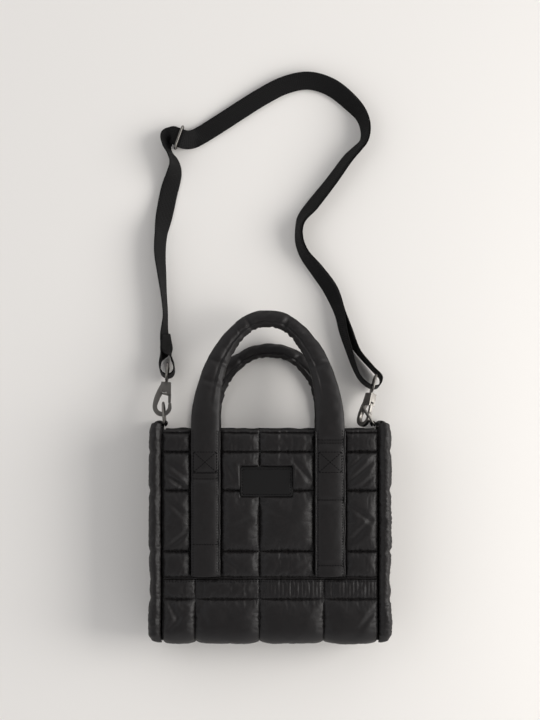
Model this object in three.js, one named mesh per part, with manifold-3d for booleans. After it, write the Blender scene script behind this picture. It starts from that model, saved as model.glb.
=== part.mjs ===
// A small quilted tote bag with two padded handles and a clip-on webbing shoulder strap.
// It lies on its back: x runs across the bag, y from its base to its mouth, z up from the floor.
// The origin is on the floor, under the middle of the bag. All lengths are millimetres.

import * as THREE from "three";
import { mergeVertices } from "three/addons/utils/BufferGeometryUtils.js";
import Module from "manifold-3d";

const wasm = await Module();
wasm.setup();

// Clearance between pieces that touch on the real bag
const gap = 0.35;

// Bag body
const bagWidth = 264; // over the rolled sides
const bagHeight = 236; // from the base to the mouth
const bagThickness = 62; // lying down, over the padding
const rollWidth = 14.7; // how far a side roll stands out past the front panel
const seamWall = 4; // the quilt's thickness along a stitched line
const frontPuff = 7.5; // how far the front's padding rises above its stitching
const backPuff = 8; // the same on the back, where the floor flattens it
const basePuff = 6.5;
const bandHeight = 74; // the base band, from the bottom up to its seam
const bandCell = 70; // the width of the band's two middle cells
const hemHeight = 4;
const hornRise = 6; // how far the top corners of the sides rise over the mouth
const seamOffset = -11.5; // the quilt's middle line lies left of the bag's own middle

// Handles
const legWidth = 31;
const legThickness = 7.5;
const legSpacing = 135.5; // between the middles of the two legs
const legCentre = -2.5;
const gripWidth = 18.5; // the handle folded in half at its grip
const frontHandleReach = 120; // from the mouth to the middle of the grip
const backHandleReach = 85;
const frontHandleDrop = 24; // how far the front grip droops below its legs
const backGripWidth = 15.5;

// Sewn patch
const patchWidth = 56.5;
const patchHeight = 32;
const patchThickness = 1.6;
const patchX = -3.8;
const patchY = 61;

// Metalware
const wireDiameter = 2.6;
const ringOpening = 20.8; // the D ring's straight side, inside the wire
const ringReach = 25.5; // from the D ring's straight side to its crown, over the wire
const tabWidth = 18;
const tabWall = 1.5;
const tabHeightShare = 0.5; // the tab's place through the bag's thickness
const hookLength = 38.5;
const hookWidth = 21;
const hookPlate = 3.8;
const housingLength = 12.6;
const housingWidth = 10.4;
const housingThickness = 7.4;
const pivotDown = 12.6; // from the housing's top to the gate's pivot
const gateLength = 10.2;
const gateThickness = 3;
const pinDiameter = 1.6;
const pinClearance = 0.3;
const stemDiameter = 3;
const stemClearance = 0.3;
const stemDepth = 5;
const eyeLength = 17.5; // the eye's loop along the hook, between its wires' middles

// Strap
const webbingWidth = 20;
const webbingThickness = 1.5;
const layerGap = 0.6; // between the two layers of the doubled stretch
const floorGap = 0.6; // under the strap and its slider
const strapReach = 338.5; // from the left clasp to the top of the strap's arch
const sliderBar = 2.6;
const sliderLength = 27;
const sliderHeight = 17;
const sliderLean = 20; // degrees from square across the bag

const seamX = bagWidth / 2 - rollWidth;
const mouthY = bagHeight / 2;
const bandY = -mouthY + bandHeight;
const frontSeamZ = bagThickness - frontPuff;
const backSeamZ = backPuff;
const middleZ = bagThickness / 2;
const radians = THREE.MathUtils.degToRad;
const up = new THREE.Vector3(0, 0, 1);

// Solids from points

// A closed geometry from points and index triples, turned to face outwards.
function closedGeometry(points, triangles) {
  let volume = 0;
  for (const [a, b, c] of triangles) {
    volume += points[a].dot(new THREE.Vector3().crossVectors(points[b], points[c]));
  }
  const facing = volume < 0 ? triangles.map(([a, b, c]) => [a, c, b]) : triangles;
  const geometry = new THREE.BufferGeometry().setFromPoints(points);
  geometry.setIndex(facing.flat());
  return geometry;
}

// A solid lofted through rings of points. A round trip joins the last ring to the first; otherwise
// each end is closed by a fan around the middle of its ring. otherWay says which quads are split
// along their other diagonal.
function loft(rings, roundTrip = false, otherWay = () => false) {
  const size = rings[0].length;
  const points = rings.flat();
  const triangles = [];
  const last = roundTrip ? rings.length : rings.length - 1;
  for (let i = 0; i < last; i++) {
    for (let j = 0; j < size; j++) {
      const a = i * size + j;
      const b = i * size + ((j + 1) % size);
      const c = ((i + 1) % rings.length) * size + j;
      const d = ((i + 1) % rings.length) * size + ((j + 1) % size);
      if (otherWay(i, j)) triangles.push([a, b, d], [a, d, c]);
      else triangles.push([a, b, c], [b, d, c]);
    }
  }
  if (!roundTrip) {
    for (const end of [0, rings.length - 1]) {
      const middle = new THREE.Vector3();
      rings[end].forEach((p) => middle.addScaledVector(p, 1 / size));
      points.push(middle);
      for (let j = 0; j < size; j++) {
        const a = end * size + j;
        const b = end * size + ((j + 1) % size);
        triangles.push(end === 0 ? [points.length - 1, b, a] : [points.length - 1, a, b]);
      }
    }
  }
  return closedGeometry(points, triangles);
}

// A cloth wall: a grid of outer points and a grid of inner points, joined round their edges.
function wall(rows, columns, outerAt, innerAt) {
  const grid = (at) => rows.flatMap((row) => columns.map((column) => at(column, row)));
  const points = [...grid(outerAt), ...grid(innerAt)];
  const wide = columns.length;
  const under = rows.length * wide;
  const triangles = [];
  for (let i = 0; i < rows.length - 1; i++) {
    for (let j = 0; j < wide - 1; j++) {
      const a = i * wide + j;
      const c = a + wide;
      triangles.push([a, a + 1, c], [a + 1, c + 1, c]);
      triangles.push([under + a, under + c, under + a + 1], [under + a + 1, under + c, under + c + 1]);
    }
  }
  const rim = [];
  for (let j = 0; j < wide - 1; j++) rim.push(j);
  for (let i = 0; i < rows.length - 1; i++) rim.push(i * wide + wide - 1);
  for (let j = wide - 1; j > 0; j--) rim.push((rows.length - 1) * wide + j);
  for (let i = rows.length - 1; i > 0; i--) rim.push(i * wide);
  rim.forEach((a, k) => {
    const b = rim[(k + 1) % rim.length];
    triangles.push([b, a, under + a], [b, under + a, under + b]);
  });
  return closedGeometry(points, triangles);
}

// Joins and cuts

function solid(geometry) {
  const bare = geometry.clone();
  bare.deleteAttribute("normal");
  bare.deleteAttribute("uv");
  const merged = mergeVertices(bare, 1e-4);
  return new wasm.Manifold(
    new wasm.Mesh({
      numProp: 3,
      vertProperties: new Float32Array(merged.attributes.position.array),
      triVerts: new Uint32Array(merged.index.array),
    }),
  );
}

function geometryOf(manifold) {
  const mesh = manifold.getMesh();
  const geometry = new THREE.BufferGeometry();
  geometry.setAttribute("position", new THREE.BufferAttribute(mesh.vertProperties, 3));
  geometry.setIndex(new THREE.BufferAttribute(mesh.triVerts, 1));
  return geometry;
}

// A box between two heights of a plane outline
function plate(shape, low, high) {
  const geometry = new THREE.ExtrudeGeometry(shape, {
    depth: high - low,
    bevelEnabled: false,
    curveSegments: 8,
  });
  return geometry.translate(0, 0, low);
}

// A round hole about the origin of a plane outline
function roundHole(radius, sides = 16) {
  const points = Array.from({ length: sides }, (_, k) => {
    const angle = (-2 * Math.PI * (k + 0.5)) / sides;
    return new THREE.Vector2(Math.cos(angle) * radius, Math.sin(angle) * radius);
  });
  return new THREE.Path(points);
}

// Adds a round arc about the origin to an outline, in straight steps.
function arcTo(outline, radius, from, to, steps = 8) {
  for (let k = 0; k <= steps; k++) {
    const angle = from + ((to - from) * k) / steps;
    outline.lineTo(Math.cos(angle) * radius, Math.sin(angle) * radius);
  }
}

// A round rod along z, centred
const rod = (diameter, length, sides = 12) =>
  new THREE.CylinderGeometry(diameter / 2, diameter / 2, length, sides).rotateX(Math.PI / 2);

// Materials

const finish = (color, roughness, metalness = 0) =>
  new THREE.MeshStandardMaterial({ color, roughness, metalness });
const nylon = finish(0x1b1a1b, 0.55);
const webbing = finish(0x17181a, 0.8);
const patchLeather = finish(0x161616, 0.6);
const nickel = finish(0x8f8d86, 0.3, 1);

const bag = new THREE.Group();

function piece(name, geometry, material, parent = bag) {
  const mesh = new THREE.Mesh(geometry, material);
  mesh.name = name;
  parent.add(mesh);
  return mesh;
}

// Quilting

// Stations between two seams, as shares: for padding that domes, and for padding pressed by the floor
const domed = [0, 0.146, 0.5, 0.854];
const pressed = [0, 0.15, 0.85];

// Seam lines and the stations between them: padding rises from one seam to the next.
function quiltStations(seams, shares) {
  const stations = [];
  for (let k = 0; k < seams.length - 1; k++) {
    const { at, flat } = seams[k];
    const next = seams[k + 1].at;
    for (const share of flat ? [0] : shares) {
      stations.push({ at: at + (next - at) * share, rise: flat ? 0 : pillow(share) });
    }
  }
  stations.push({ at: seams.at(-1).at, rise: 0 });
  return stations;
}

// Adds stations of their own where the padding is pressed down, keeping its rise between seams.
function withStations(stations, places) {
  for (const at of places) {
    const k = stations.findIndex((station) => station.at > at);
    const [before, after] = [stations[k - 1], stations[k]];
    const share = (at - before.at) / (after.at - before.at);
    stations.splice(k, 0, { at, rise: THREE.MathUtils.lerp(before.rise, after.rise, share) });
  }
  return stations;
}

// The height of padding between two seams, from 0 at a seam to 1 in the middle
function pillow(share) {
  return Math.pow(Math.max(0, 1 - Math.pow(Math.abs(2 * share - 1), 2.6)), 0.6);
}

const leftLeg = legCentre - legSpacing / 2;
const rightLeg = legCentre + legSpacing / 2;
const legHalf = legWidth / 2 + 1;
// The panel lies flat under each handle leg.
const panelSeams = [
  { at: -seamX },
  { at: leftLeg - legHalf, flat: true },
  { at: leftLeg + legHalf },
  { at: seamOffset },
  { at: rightLeg - legHalf, flat: true },
  { at: rightLeg + legHalf },
  { at: seamX },
];
const patchMargin = 1;
const backColumns = quiltStations(panelSeams, pressed);
const frontColumns = withStations(quiltStations(panelSeams, domed), [
  patchX - patchWidth / 2 - patchMargin,
  patchX + patchWidth / 2 + patchMargin,
]);

// Cross seams of the front and back, as shares of the height from the band's seam to the mouth
const crossSeams = [0.175, 0.585, 0.845];
const panelHeight = mouthY - bandY;
const rowSeams = [
  { at: bandY + gap },
  ...crossSeams.map((share) => ({ at: bandY + panelHeight * share })),
  { at: mouthY - hemHeight },
  { at: mouthY },
];
const backRows = quiltStations(rowSeams, pressed);
const frontRows = withStations(quiltStations(rowSeams, domed), [
  patchY - patchHeight / 2 - patchMargin,
  patchY + patchHeight / 2 + patchMargin,
]);

// The patch presses the padding flat under itself.
function underPatch(x, y) {
  const beside = Math.max(Math.abs(x - patchX) - patchWidth / 2, Math.abs(y - patchY) - patchHeight / 2);
  return THREE.MathUtils.clamp(1 - (beside - patchMargin - 0.1) / 5, 0, 1);
}

const patchRise = 0.35; // of the front's padding, under the patch

function frontPanel() {
  const outer = (column, row) => {
    const rise = THREE.MathUtils.lerp(column.rise * row.rise, patchRise, underPatch(column.at, row.at));
    const insideLeg = Math.min(Math.abs(column.at - leftLeg), Math.abs(column.at - rightLeg)) <= legHalf + 0.01;
    return new THREE.Vector3(column.at, row.at, frontSeamZ + frontPuff * (insideLeg ? 0 : rise));
  };
  const inner = (column, row) => new THREE.Vector3(column.at, row.at, frontSeamZ - seamWall);
  piece("front_panel", wall(frontRows, frontColumns, outer, inner), nylon);
}

function backPanel() {
  const outer = (column, row) => {
    const rise = Math.min(1, 2 * column.rise * row.rise);
    return new THREE.Vector3(column.at, row.at, backSeamZ - backPuff * rise);
  };
  const inner = (column, row) => new THREE.Vector3(column.at, row.at, backSeamZ + seamWall);
  piece("back_panel", wall(backRows, backColumns, outer, inner), nylon);
}

// Base band

// The band's middle line from the front seam round the bottom to the back seam. y is a share of the
// band's height above the bottom, z a share of the way from the back seam level to the front one.
const bandLine = [
  { y: 1, z: 1, seam: true },
  { y: 0.695, z: 1, seam: true },
  { y: 0.24, z: 1 },
  { y: 0.12, z: 0.9 },
  { y: 0.075, z: 0.72, seam: true },
  { y: 0.06, z: 0.5 },
  { y: 0.075, z: 0.28, seam: true },
  { y: 0.12, z: 0.1 },
  { y: 0.24, z: 0 },
  { y: 0.695, z: 0, seam: true },
  { y: 1, z: 0, seam: true },
];

function basePanel() {
  const low = backSeamZ + seamWall / 2;
  const high = frontSeamZ - seamWall / 2;
  const path = new THREE.CatmullRomCurve3(
    bandLine.map(({ y, z }) => new THREE.Vector3(0, -mouthY + bandHeight * y, THREE.MathUtils.lerp(low, high, z))),
    false,
    "centripetal",
  );
  const seams = bandLine.flatMap(({ seam }, k) => (seam ? [{ at: k / (bandLine.length - 1) }] : []));
  const rows = quiltStations(seams, domed);
  const columns = quiltStations(
    [-seamX, seamOffset - bandCell, seamOffset, seamOffset + bandCell, seamX].map((at) => ({ at })),
    domed,
  );
  const at = (column, row, off) => {
    const middle = path.getPoint(row.at);
    const along = path.getTangent(row.at);
    const outwards = new THREE.Vector3(0, along.z, -along.y);
    const point = middle.addScaledVector(outwards, off);
    return new THREE.Vector3(column.at, point.y, Math.max(0, point.z));
  };
  const outer = (column, row) => {
    const flatten = row.at > 0.75 ? 1.4 : 1;
    return at(column, row, seamWall / 2 + basePuff * Math.min(1.25, flatten * column.rise * row.rise));
  };
  const inner = (column, row) => at(column, row, -seamWall / 2);
  piece("base_panel", wall(rows, columns, outer, inner), nylon);
}

// Padded sides

// A gusset's section from the front seam to its fold. out and in are shares of the roll's width from
// the panel's edge, and the heights are shares of half the bag's thickness above its middle.
const gussetSection = [
  { out: 0, outZ: 0.79, in: 0, inZ: 0.63 },
  { out: 0.2, outZ: 0.94, in: 0.12, inZ: 0.6 },
  { out: 0.52, outZ: 1, in: 0.26, inZ: 0.58 },
  { out: 0.84, outZ: 0.94, in: 0.4, inZ: 0.52 },
  { out: 1, outZ: 0.74, in: 0.44, inZ: 0.42 },
  { out: 0.94, outZ: 0.48, in: 0.36, inZ: 0.31 },
  { out: 0.62, outZ: 0.24, in: 0.06, inZ: 0.18 },
  { out: 0.22, outZ: 0.08, in: -0.28, inZ: 0.06 },
];
const gussetProfile = [
  ...gussetSection,
  ...[...gussetSection].reverse().map((s) => ({ ...s, outZ: -s.outZ, inZ: -s.inZ })),
];

// Stations up a gusset, from the bottom of the bag. depth scales its section about the bag's middle
// height, swell how far it stands out, and fold how far its middle tucks in between the panels. horn
// is a share of the rise of its two top corners.
const gussetStations = [
  { y: 0.008, depth: 0.5, swell: 0.3, fold: 0 },
  { y: 0.02, depth: 0.72, swell: 0.72, fold: 0 },
  { y: 0.05, depth: 0.9, swell: 1, fold: 0 },
  { y: 0.1, depth: 1, swell: 1.04, fold: 0.4 },
  { y: 0.17, depth: 1, swell: 0.98, fold: 1 },
  { y: 0.24, depth: 1, swell: 0.93, fold: 1 },
  { y: 0.31, depth: 0.99, swell: 0.86, fold: 1 },
  { y: 0.38, depth: 1, swell: 0.95, fold: 1 },
  { y: 0.47, depth: 1, swell: 1, fold: 1 },
  { y: 0.65, depth: 1, swell: 0.98, fold: 1 },
  { y: 0.84, depth: 1, swell: 1, fold: 1 },
  { y: 0.92, depth: 1, swell: 0.99, fold: 1, horn: 0.25 },
  { y: 0.975, depth: 0.99, swell: 0.96, fold: 1, horn: 0.65 },
  { y: 1.008, depth: 0.93, swell: 0.82, fold: 1, horn: 1 },
];

function gusset(name, side) {
  const point = (across, height, { y, depth, swell, fold, horn = 0 }) => {
    const stand = across * (across > 0 ? swell : fold);
    const corner = Math.max(0, (Math.abs(height) - 0.32) / 0.68);
    return new THREE.Vector3(
      side * (seamX + gap + rollWidth * stand),
      -mouthY + bagHeight * y + hornRise * horn * corner,
      Math.max(0, middleZ * (1 + height * depth)),
    );
  };
  const geometry = wall(
    gussetStations,
    gussetProfile,
    (column, row) => point(column.out, column.outZ, row),
    (column, row) => point(column.in, column.inZ, row),
  );
  piece(name, geometry, nylon);
}

// Handles

// Half of a handle's line from its leg's foot to its crown. side is a share of half the leg spacing,
// reach a share of the way from the mouth to the crown (negative: down the leg), droop a share of the
// crown's droop, and grip blends from the flat leg to the folded grip.
const handleLine = [
  { side: 1, reach: 0.05, droop: 0, grip: 0 },
  { side: 0.985, reach: 0.2, droop: 0.08, grip: 0.1 },
  { side: 0.925, reach: 0.4, droop: 0.3, grip: 0.35 },
  { side: 0.8, reach: 0.62, droop: 0.6, grip: 0.65 },
  { side: 0.62, reach: 0.79, droop: 0.82, grip: 0.85 },
  { side: 0.44, reach: 0.905, droop: 0.93, grip: 1 },
  { side: 0.26, reach: 0.975, droop: 0.98, grip: 1 },
  { side: 0.09, reach: 1, droop: 1, grip: 1 },
];

// A section with round edges, from flat and wide to nearly round
function handleRing(centre, across, thick, width, thickness, sides = 10) {
  const ring = [];
  for (let j = 0; j < sides; j++) {
    const angle = (2 * Math.PI * (j + 0.5)) / sides;
    const squared = (value) => Math.sign(value) * Math.pow(Math.abs(value), 0.6);
    ring.push(
      centre
        .clone()
        .addScaledVector(across, (squared(Math.cos(angle)) * width) / 2)
        .addScaledVector(thick, (squared(Math.sin(angle)) * thickness) / 2),
    );
  }
  return ring;
}

function handle(name, { z, crown, reach, grip, lean }) {
  const spacing = legSpacing / 2;
  const stations = [];
  for (const end of [-1, 1]) {
    const half = [0, 0.25, 0.5, 0.75].map((share) => ({
      point: new THREE.Vector3(legCentre + end * spacing, THREE.MathUtils.lerp(bandY + 2, mouthY, share), z),
      grip: 0,
    }));
    for (const row of handleLine) {
      half.push({
        point: new THREE.Vector3(
          legCentre + end * spacing * row.side + lean * row.grip,
          mouthY + reach * row.reach,
          THREE.MathUtils.lerp(z, crown, row.droop),
        ),
        grip: row.grip,
      });
    }
    stations.push(...(end < 0 ? half : half.reverse()));
  }
  const rings = stations.map((station, k) => {
    const before = stations[Math.max(0, k - 1)].point;
    const after = stations[Math.min(stations.length - 1, k + 1)].point;
    const along = new THREE.Vector3().subVectors(after, before).normalize();
    const across = new THREE.Vector3().crossVectors(along, up).normalize();
    const thick = new THREE.Vector3().crossVectors(across, along);
    const width = THREE.MathUtils.lerp(legWidth, grip, station.grip);
    const thickness = THREE.MathUtils.lerp(legThickness, grip * 0.86, station.grip);
    return handleRing(station.point, across, thick, width, thickness);
  });
  piece(name, loft(rings), nylon);
}

function handles() {
  handle("handle_front", {
    z: frontSeamZ + gap + legThickness / 2,
    crown: frontSeamZ + legThickness / 2 - frontHandleDrop,
    reach: frontHandleReach,
    grip: gripWidth,
    lean: 0,
  });
  handle("handle_back", {
    z: legThickness / 2,
    crown: backGripWidth * 0.43 + gap,
    reach: backHandleReach,
    grip: backGripWidth,
    lean: 2,
  });
}

// Sewn patch

function roundedRectangle(width, height, radius) {
  const shape = new THREE.Shape();
  const x = width / 2;
  const y = height / 2;
  shape.moveTo(-x + radius, -y);
  shape.lineTo(x - radius, -y);
  shape.quadraticCurveTo(x, -y, x, -y + radius);
  shape.lineTo(x, y - radius);
  shape.quadraticCurveTo(x, y, x - radius, y);
  shape.lineTo(-x + radius, y);
  shape.quadraticCurveTo(-x, y, -x, y - radius);
  shape.lineTo(-x, -y + radius);
  shape.quadraticCurveTo(-x, -y, -x + radius, -y);
  return shape;
}

function labelPatch() {
  const bottom = frontSeamZ + frontPuff * patchRise + gap;
  const geometry = plate(roundedRectangle(patchWidth, patchHeight, 1.5), 0, patchThickness);
  piece("label_patch", geometry, patchLeather).position.set(patchX, patchY, bottom);
}

// D rings and their tabs

const wireRing = (centre, a, b, sides = 6) =>
  Array.from({ length: sides }, (_, j) => {
    const angle = (2 * Math.PI * j) / sides;
    return centre
      .clone()
      .addScaledVector(a, (Math.cos(angle) * wireDiameter) / 2)
      .addScaledVector(b, (Math.sin(angle) * wireDiameter) / 2);
  });

// A closed wire loop through points of one plane
function wireLoop(points, normal, count) {
  const path = new THREE.CatmullRomCurve3(points, true, "centripetal");
  const rings = [];
  for (let i = 0; i < count; i++) {
    const along = path.getTangentAt(i / count);
    rings.push(wireRing(path.getPointAt(i / count), normal, new THREE.Vector3().crossVectors(along, normal)));
  }
  return loft(rings, true);
}

const tabFoot = mouthY + bagHeight * 0.008 + gap;
const tabHole = wireDiameter / 2 + 0.3;
const barY = tabFoot + 1.1 + tabHole;

// The D stands in a vertical plane: its straight bar is upright in the tab, its crown points away.
function dRing(name, parent) {
  const half = (ringOpening + wireDiameter) / 2;
  const reach = ringReach - wireDiameter;
  const outline = [
    { along: 0, high: -0.55 },
    { along: 0, high: 0.55 },
    { along: 0.03, high: 0.93 },
    { along: 0.14, high: 1 },
    { along: 0.5, high: 1 },
    { along: 0.78, high: 0.8 },
    { along: 0.95, high: 0.45 },
    { along: 1, high: 0 },
    { along: 0.95, high: -0.45 },
    { along: 0.78, high: -0.8 },
    { along: 0.5, high: -1 },
    { along: 0.14, high: -1 },
    { along: 0.03, high: -0.93 },
  ].map(({ along, high }) => new THREE.Vector3(0, along * reach, high * half));
  piece(name, wireLoop(outline, new THREE.Vector3(1, 0, 0), 24), nickel, parent);
}

// A folded cloth tab round the bar, cut through for the wire
function ringTab(name, parent) {
  const outline = new THREE.Shape();
  const half = tabHole + tabWall;
  const foot = tabFoot - barY;
  outline.moveTo(-tabWall * 1.2, foot);
  outline.lineTo(tabWall * 1.2, foot);
  arcTo(outline, half, -0.2, Math.PI + 0.2, 12);
  outline.holes.push(roundHole(tabHole));
  piece(name, plate(outline, -tabWidth / 2, tabWidth / 2), webbing, parent);
}

function ringAndTab(name) {
  const { side, inset, swing } = clasps[name];
  const place = new THREE.Group();
  place.position.set(side * (seamX - inset), barY, bagThickness * tabHeightShare);
  bag.add(place);
  ringTab(`ring_tab_${name}`, place);
  const turned = new THREE.Group();
  turned.rotation.z = radians(swing);
  place.add(turned);
  dRing(`d_ring_${name}`, turned);
}

// Snap hooks

// The hook's plate hangs down -y from its housing; its gate is on the +x side.
function hookBody() {
  const low = -hookLength;
  const wide = hookWidth / 2;
  const centre = -1.6;
  const outline = new THREE.Shape();
  const mouthTop = -pivotDown - 3.4;
  const mouthBottom = -pivotDown - gateLength;
  outline.moveTo(-housingWidth / 2, 0);
  outline.lineTo(-housingWidth / 2 - 0.6, -3);
  outline.quadraticCurveTo(centre - wide - 0.4, -17, centre - wide, low + wide);
  outline.absellipse(centre, low + wide, wide, wide, Math.PI, 2 * Math.PI, false);
  outline.lineTo(centre + wide - 0.9, mouthBottom - gap);
  outline.lineTo(housingWidth / 2 - 0.2, mouthBottom - gap);
  outline.lineTo(housingWidth / 2 - 0.4, low + 11);
  outline.absellipse(centre + 0.5, low + 11.5, 6.2, 7, 0, -Math.PI, true);
  outline.quadraticCurveTo(-housingWidth / 2 - 0.2, -18, -3, -housingLength - 0.8);
  outline.lineTo(housingWidth / 2 - 3, -housingLength - 0.8);
  outline.lineTo(housingWidth / 2 - 3, mouthTop + 2.2);
  outline.lineTo(housingWidth / 2 + 1.6, mouthTop + 2.2);
  outline.lineTo(housingWidth / 2 + 0.2, 0);
  outline.closePath();
  const plateSolid = solid(plate(outline, -hookPlate / 2, hookPlate / 2));

  const housingOutline = new THREE.Shape();
  housingOutline.moveTo(-housingWidth / 2, 0);
  housingOutline.lineTo(-housingWidth / 2 - 1, -housingLength * 0.75);
  housingOutline.lineTo(-housingWidth / 2, -housingLength);
  housingOutline.lineTo(housingWidth / 2 + 1.4, -housingLength - 2);
  housingOutline.lineTo(housingWidth / 2 + 0.2, 0);
  housingOutline.closePath();
  const housing = solid(plate(housingOutline, -housingThickness / 2, housingThickness / 2));

  // The bore for the eye's stem, the window under the housing and the gate's slot
  const bore = solid(rod(stemDiameter + 2 * stemClearance, stemDepth + 1, 16).rotateX(Math.PI / 2)).translate(
    [0, -stemDepth / 2 + 0.5, 0],
  );
  const window = solid(new THREE.BoxGeometry(5.4, 2, housingThickness + 2)).translate(
    [-0.6, -housingLength + 1, 0],
  );
  const slotWide = 6.4;
  const slot = solid(
    new THREE.BoxGeometry(slotWide, 2 * pivotReach + 1.4, gateThickness + 2 * gap),
  ).translate([pivotX, -pivotDown, 0]);
  const dimple = solid(rod(2, 1.2)).translate([0.8, -3.4, housingThickness / 2]);
  const pin = solid(rod(pinDiameter, housingThickness - 0.4)).translate([pivotX, -pivotDown, 0]);
  return geometryOf(
    plateSolid.add(housing).subtract(bore).subtract(window).subtract(slot).subtract(dimple).add(pin),
  );
}

const pivotX = housingWidth / 2 - 0.2;
const pivotReach = 1.8; // the gate's knuckle, about its pivot

// The gate is drawn about its own pivot and closes the mouth down to the hook's tip.
function hookGate() {
  const outline = new THREE.Shape();
  outline.moveTo(pivotReach, -gateLength);
  outline.lineTo(pivotReach + 0.5, -gateLength + 1);
  arcTo(outline, pivotReach, 0, Math.PI);
  outline.lineTo(-pivotReach + 0.6, -3);
  outline.lineTo(-pivotReach + 1.2, -gateLength);
  outline.holes.push(roundHole(pinDiameter / 2 + pinClearance));
  return plate(outline, -gateThickness / 2, gateThickness / 2);
}

const eyeNear = wireDiameter / 2 + 1.2; // from the housing's top to the near wire's middle
const eyeHalf = webbingWidth / 2 + 0.7 + wireDiameter / 2;

// The eye: a wire loop wide enough for the webbing, on a stem that turns in the housing
function hookEye() {
  const outline = [
    { along: 0, high: -0.6 },
    { along: 0, high: 0.6 },
    { along: 0.08, high: 0.9 },
    { along: 0.25, high: 1 },
    { along: 0.75, high: 1 },
    { along: 0.93, high: 0.92 },
    { along: 1, high: 0.7 },
    { along: 1, high: -0.7 },
    { along: 0.93, high: -0.92 },
    { along: 0.75, high: -1 },
    { along: 0.25, high: -1 },
    { along: 0.08, high: -0.9 },
  ].map(({ along, high }) => new THREE.Vector3(0, eyeNear + along * eyeLength, high * eyeHalf));
  const loop = solid(wireLoop(outline, new THREE.Vector3(1, 0, 0), 28));
  const stemLength = stemDepth - stemClearance + eyeNear;
  const stem = solid(rod(stemDiameter, stemLength, 12).rotateX(Math.PI / 2)).translate(
    [0, eyeNear - stemLength / 2, 0],
  );
  return geometryOf(loop.add(stem));
}

// Each clasp slopes from its eye near the floor up to its D ring. inset is the ring's place in from
// the panel's edge, and aside and along place the hook's top from the ring's bar.
const clasps = {
  left: { side: -1, inset: 1.1, swing: 4, aside: 0.8, along: 44.9, heading: -5, slope: 15.5, roll: 0 },
  right: { side: 1, inset: 3.9, swing: 31, aside: -1, along: 32.7, heading: -15, slope: 13, roll: -58 },
};

function claspPlace(name) {
  const { side, inset, aside, along } = clasps[name];
  return { x: side * (seamX - inset) + aside, y: barY + along };
}
const eyeFloor = 0.4; // the eye's lowest wire stays this far above the floor

function clasp(name) {
  const { heading, slope, roll } = clasps[name];
  const { x, y } = claspPlace(name);
  const place = new THREE.Group();
  place.rotation.set(radians(-slope), 0, radians(heading), "ZXY");
  const farBar = eyeNear + eyeLength;
  const lowest = farBar * Math.sin(radians(slope)) + (eyeHalf + wireDiameter / 2) * Math.cos(radians(slope));
  place.position.set(x, y, eyeFloor + lowest);
  bag.add(place);
  piece(`hook_eye_${name}`, hookEye(), nickel, place);
  const hook = new THREE.Group();
  hook.rotation.y = radians(roll);
  place.add(hook);
  piece(`hook_body_${name}`, hookBody(), nickel, hook);
  piece(`hook_gate_${name}`, hookGate(), nickel, hook).position.set(pivotX, -pivotDown, 0);
  return place;
}

// Strap

// The strap's line as it lies. across is a share of the way from the left clasp to the right one, up a
// share of the reach above the left clasp, and turn is degrees from lying flat to standing on edge.
const leftStrand = [
  { across: -0.005, up: 0.111, turn: 54 },
  { across: -0.012, up: 0.16, turn: 68 },
  { across: -0.007, up: 0.227, turn: 80 },
  { across: -0.015, up: 0.295, turn: 76 },
  { across: -0.025, up: 0.362, turn: 65 },
  { across: -0.034, up: 0.428, turn: 55 },
  { across: -0.029, up: 0.491, turn: 50 },
  { across: -0.011, up: 0.564, turn: 22 },
  { across: 0.01, up: 0.634, turn: 15 },
  { across: 0.036, up: 0.697, turn: 40 },
  { across: 0.034, up: 0.733, turn: 64 },
  { across: 0.014, up: 0.76, turn: 76 },
  { across: -0.001, up: 0.785, turn: 66 },
  { across: 0, up: 0.806, turn: 40 },
];
const doubled = [
  { across: 0.163, up: 0.819, turn: 0 },
  { across: 0.262, up: 0.86, turn: 3 },
  { across: 0.361, up: 0.903, turn: 5 },
  { across: 0.469, up: 0.948, turn: 8 },
  { across: 0.583, up: 0.986, turn: 12 },
  { across: 0.697, up: 1.0, turn: 15 },
  { across: 0.805, up: 0.978, turn: 22 },
  { across: 0.894, up: 0.931, turn: 35 },
  { across: 0.953, up: 0.885, turn: 55 },
  { across: 0.975, up: 0.842, turn: 65 },
  { across: 0.968, up: 0.799, turn: 72 },
  { across: 0.936, up: 0.773, turn: 68 },
  { across: 0.894, up: 0.744, turn: 62 },
  { across: 0.81, up: 0.667, turn: 57 },
  { across: 0.716, up: 0.587, turn: 52 },
  { across: 0.662, up: 0.541, turn: 65 },
  { across: 0.649, up: 0.505, turn: 74 },
  { across: 0.652, up: 0.465, turn: 70 },
  { across: 0.675, up: 0.425, turn: 64 },
  { across: 0.739, up: 0.369, turn: 50 },
  { across: 0.805, up: 0.306, turn: 45 },
  { across: 0.852, up: 0.227, turn: 60 },
];
// The doubled stretch opens into two strands round the right clasp's eye.
const nearStrand = [
  { across: 0.866, up: 0.17, turn: 66 },
  { across: 0.896, up: 0.104, turn: 72 },
  { across: 0.918, up: 0.058, turn: 78 },
];
const farStrand = [
  { across: 0.893, up: 0.17, turn: 66 },
  { across: 0.919, up: 0.125, turn: 70 },
  { across: 0.943, up: 0.098, turn: 76 },
];

// Turns of the webbing through the eyes, in each clasp's own frame: shares of the webbing's width
const leftTurn = [
  { beside: 0.14, along: 1.42 },
  { beside: 0.31, along: 1.06 },
  { beside: 0.36, along: 0.7 },
  { beside: 0.25, along: 0.47 },
  { beside: 0, along: 0.38 },
  { beside: -0.25, along: 0.47 },
  { beside: -0.42, along: 0.75 },
  { beside: -0.45, along: 1.25 },
];
const rightTurn = [
  { beside: -0.84, along: 0.73 },
  { beside: -0.4, along: 0.46 },
  { beside: 0, along: 0.38 },
  { beside: 0.26, along: 0.48 },
  { beside: 0.37, along: 0.72 },
  { beside: 0.32, along: 1.03 },
  { beside: -0.2, along: 1.38 },
];

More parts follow.
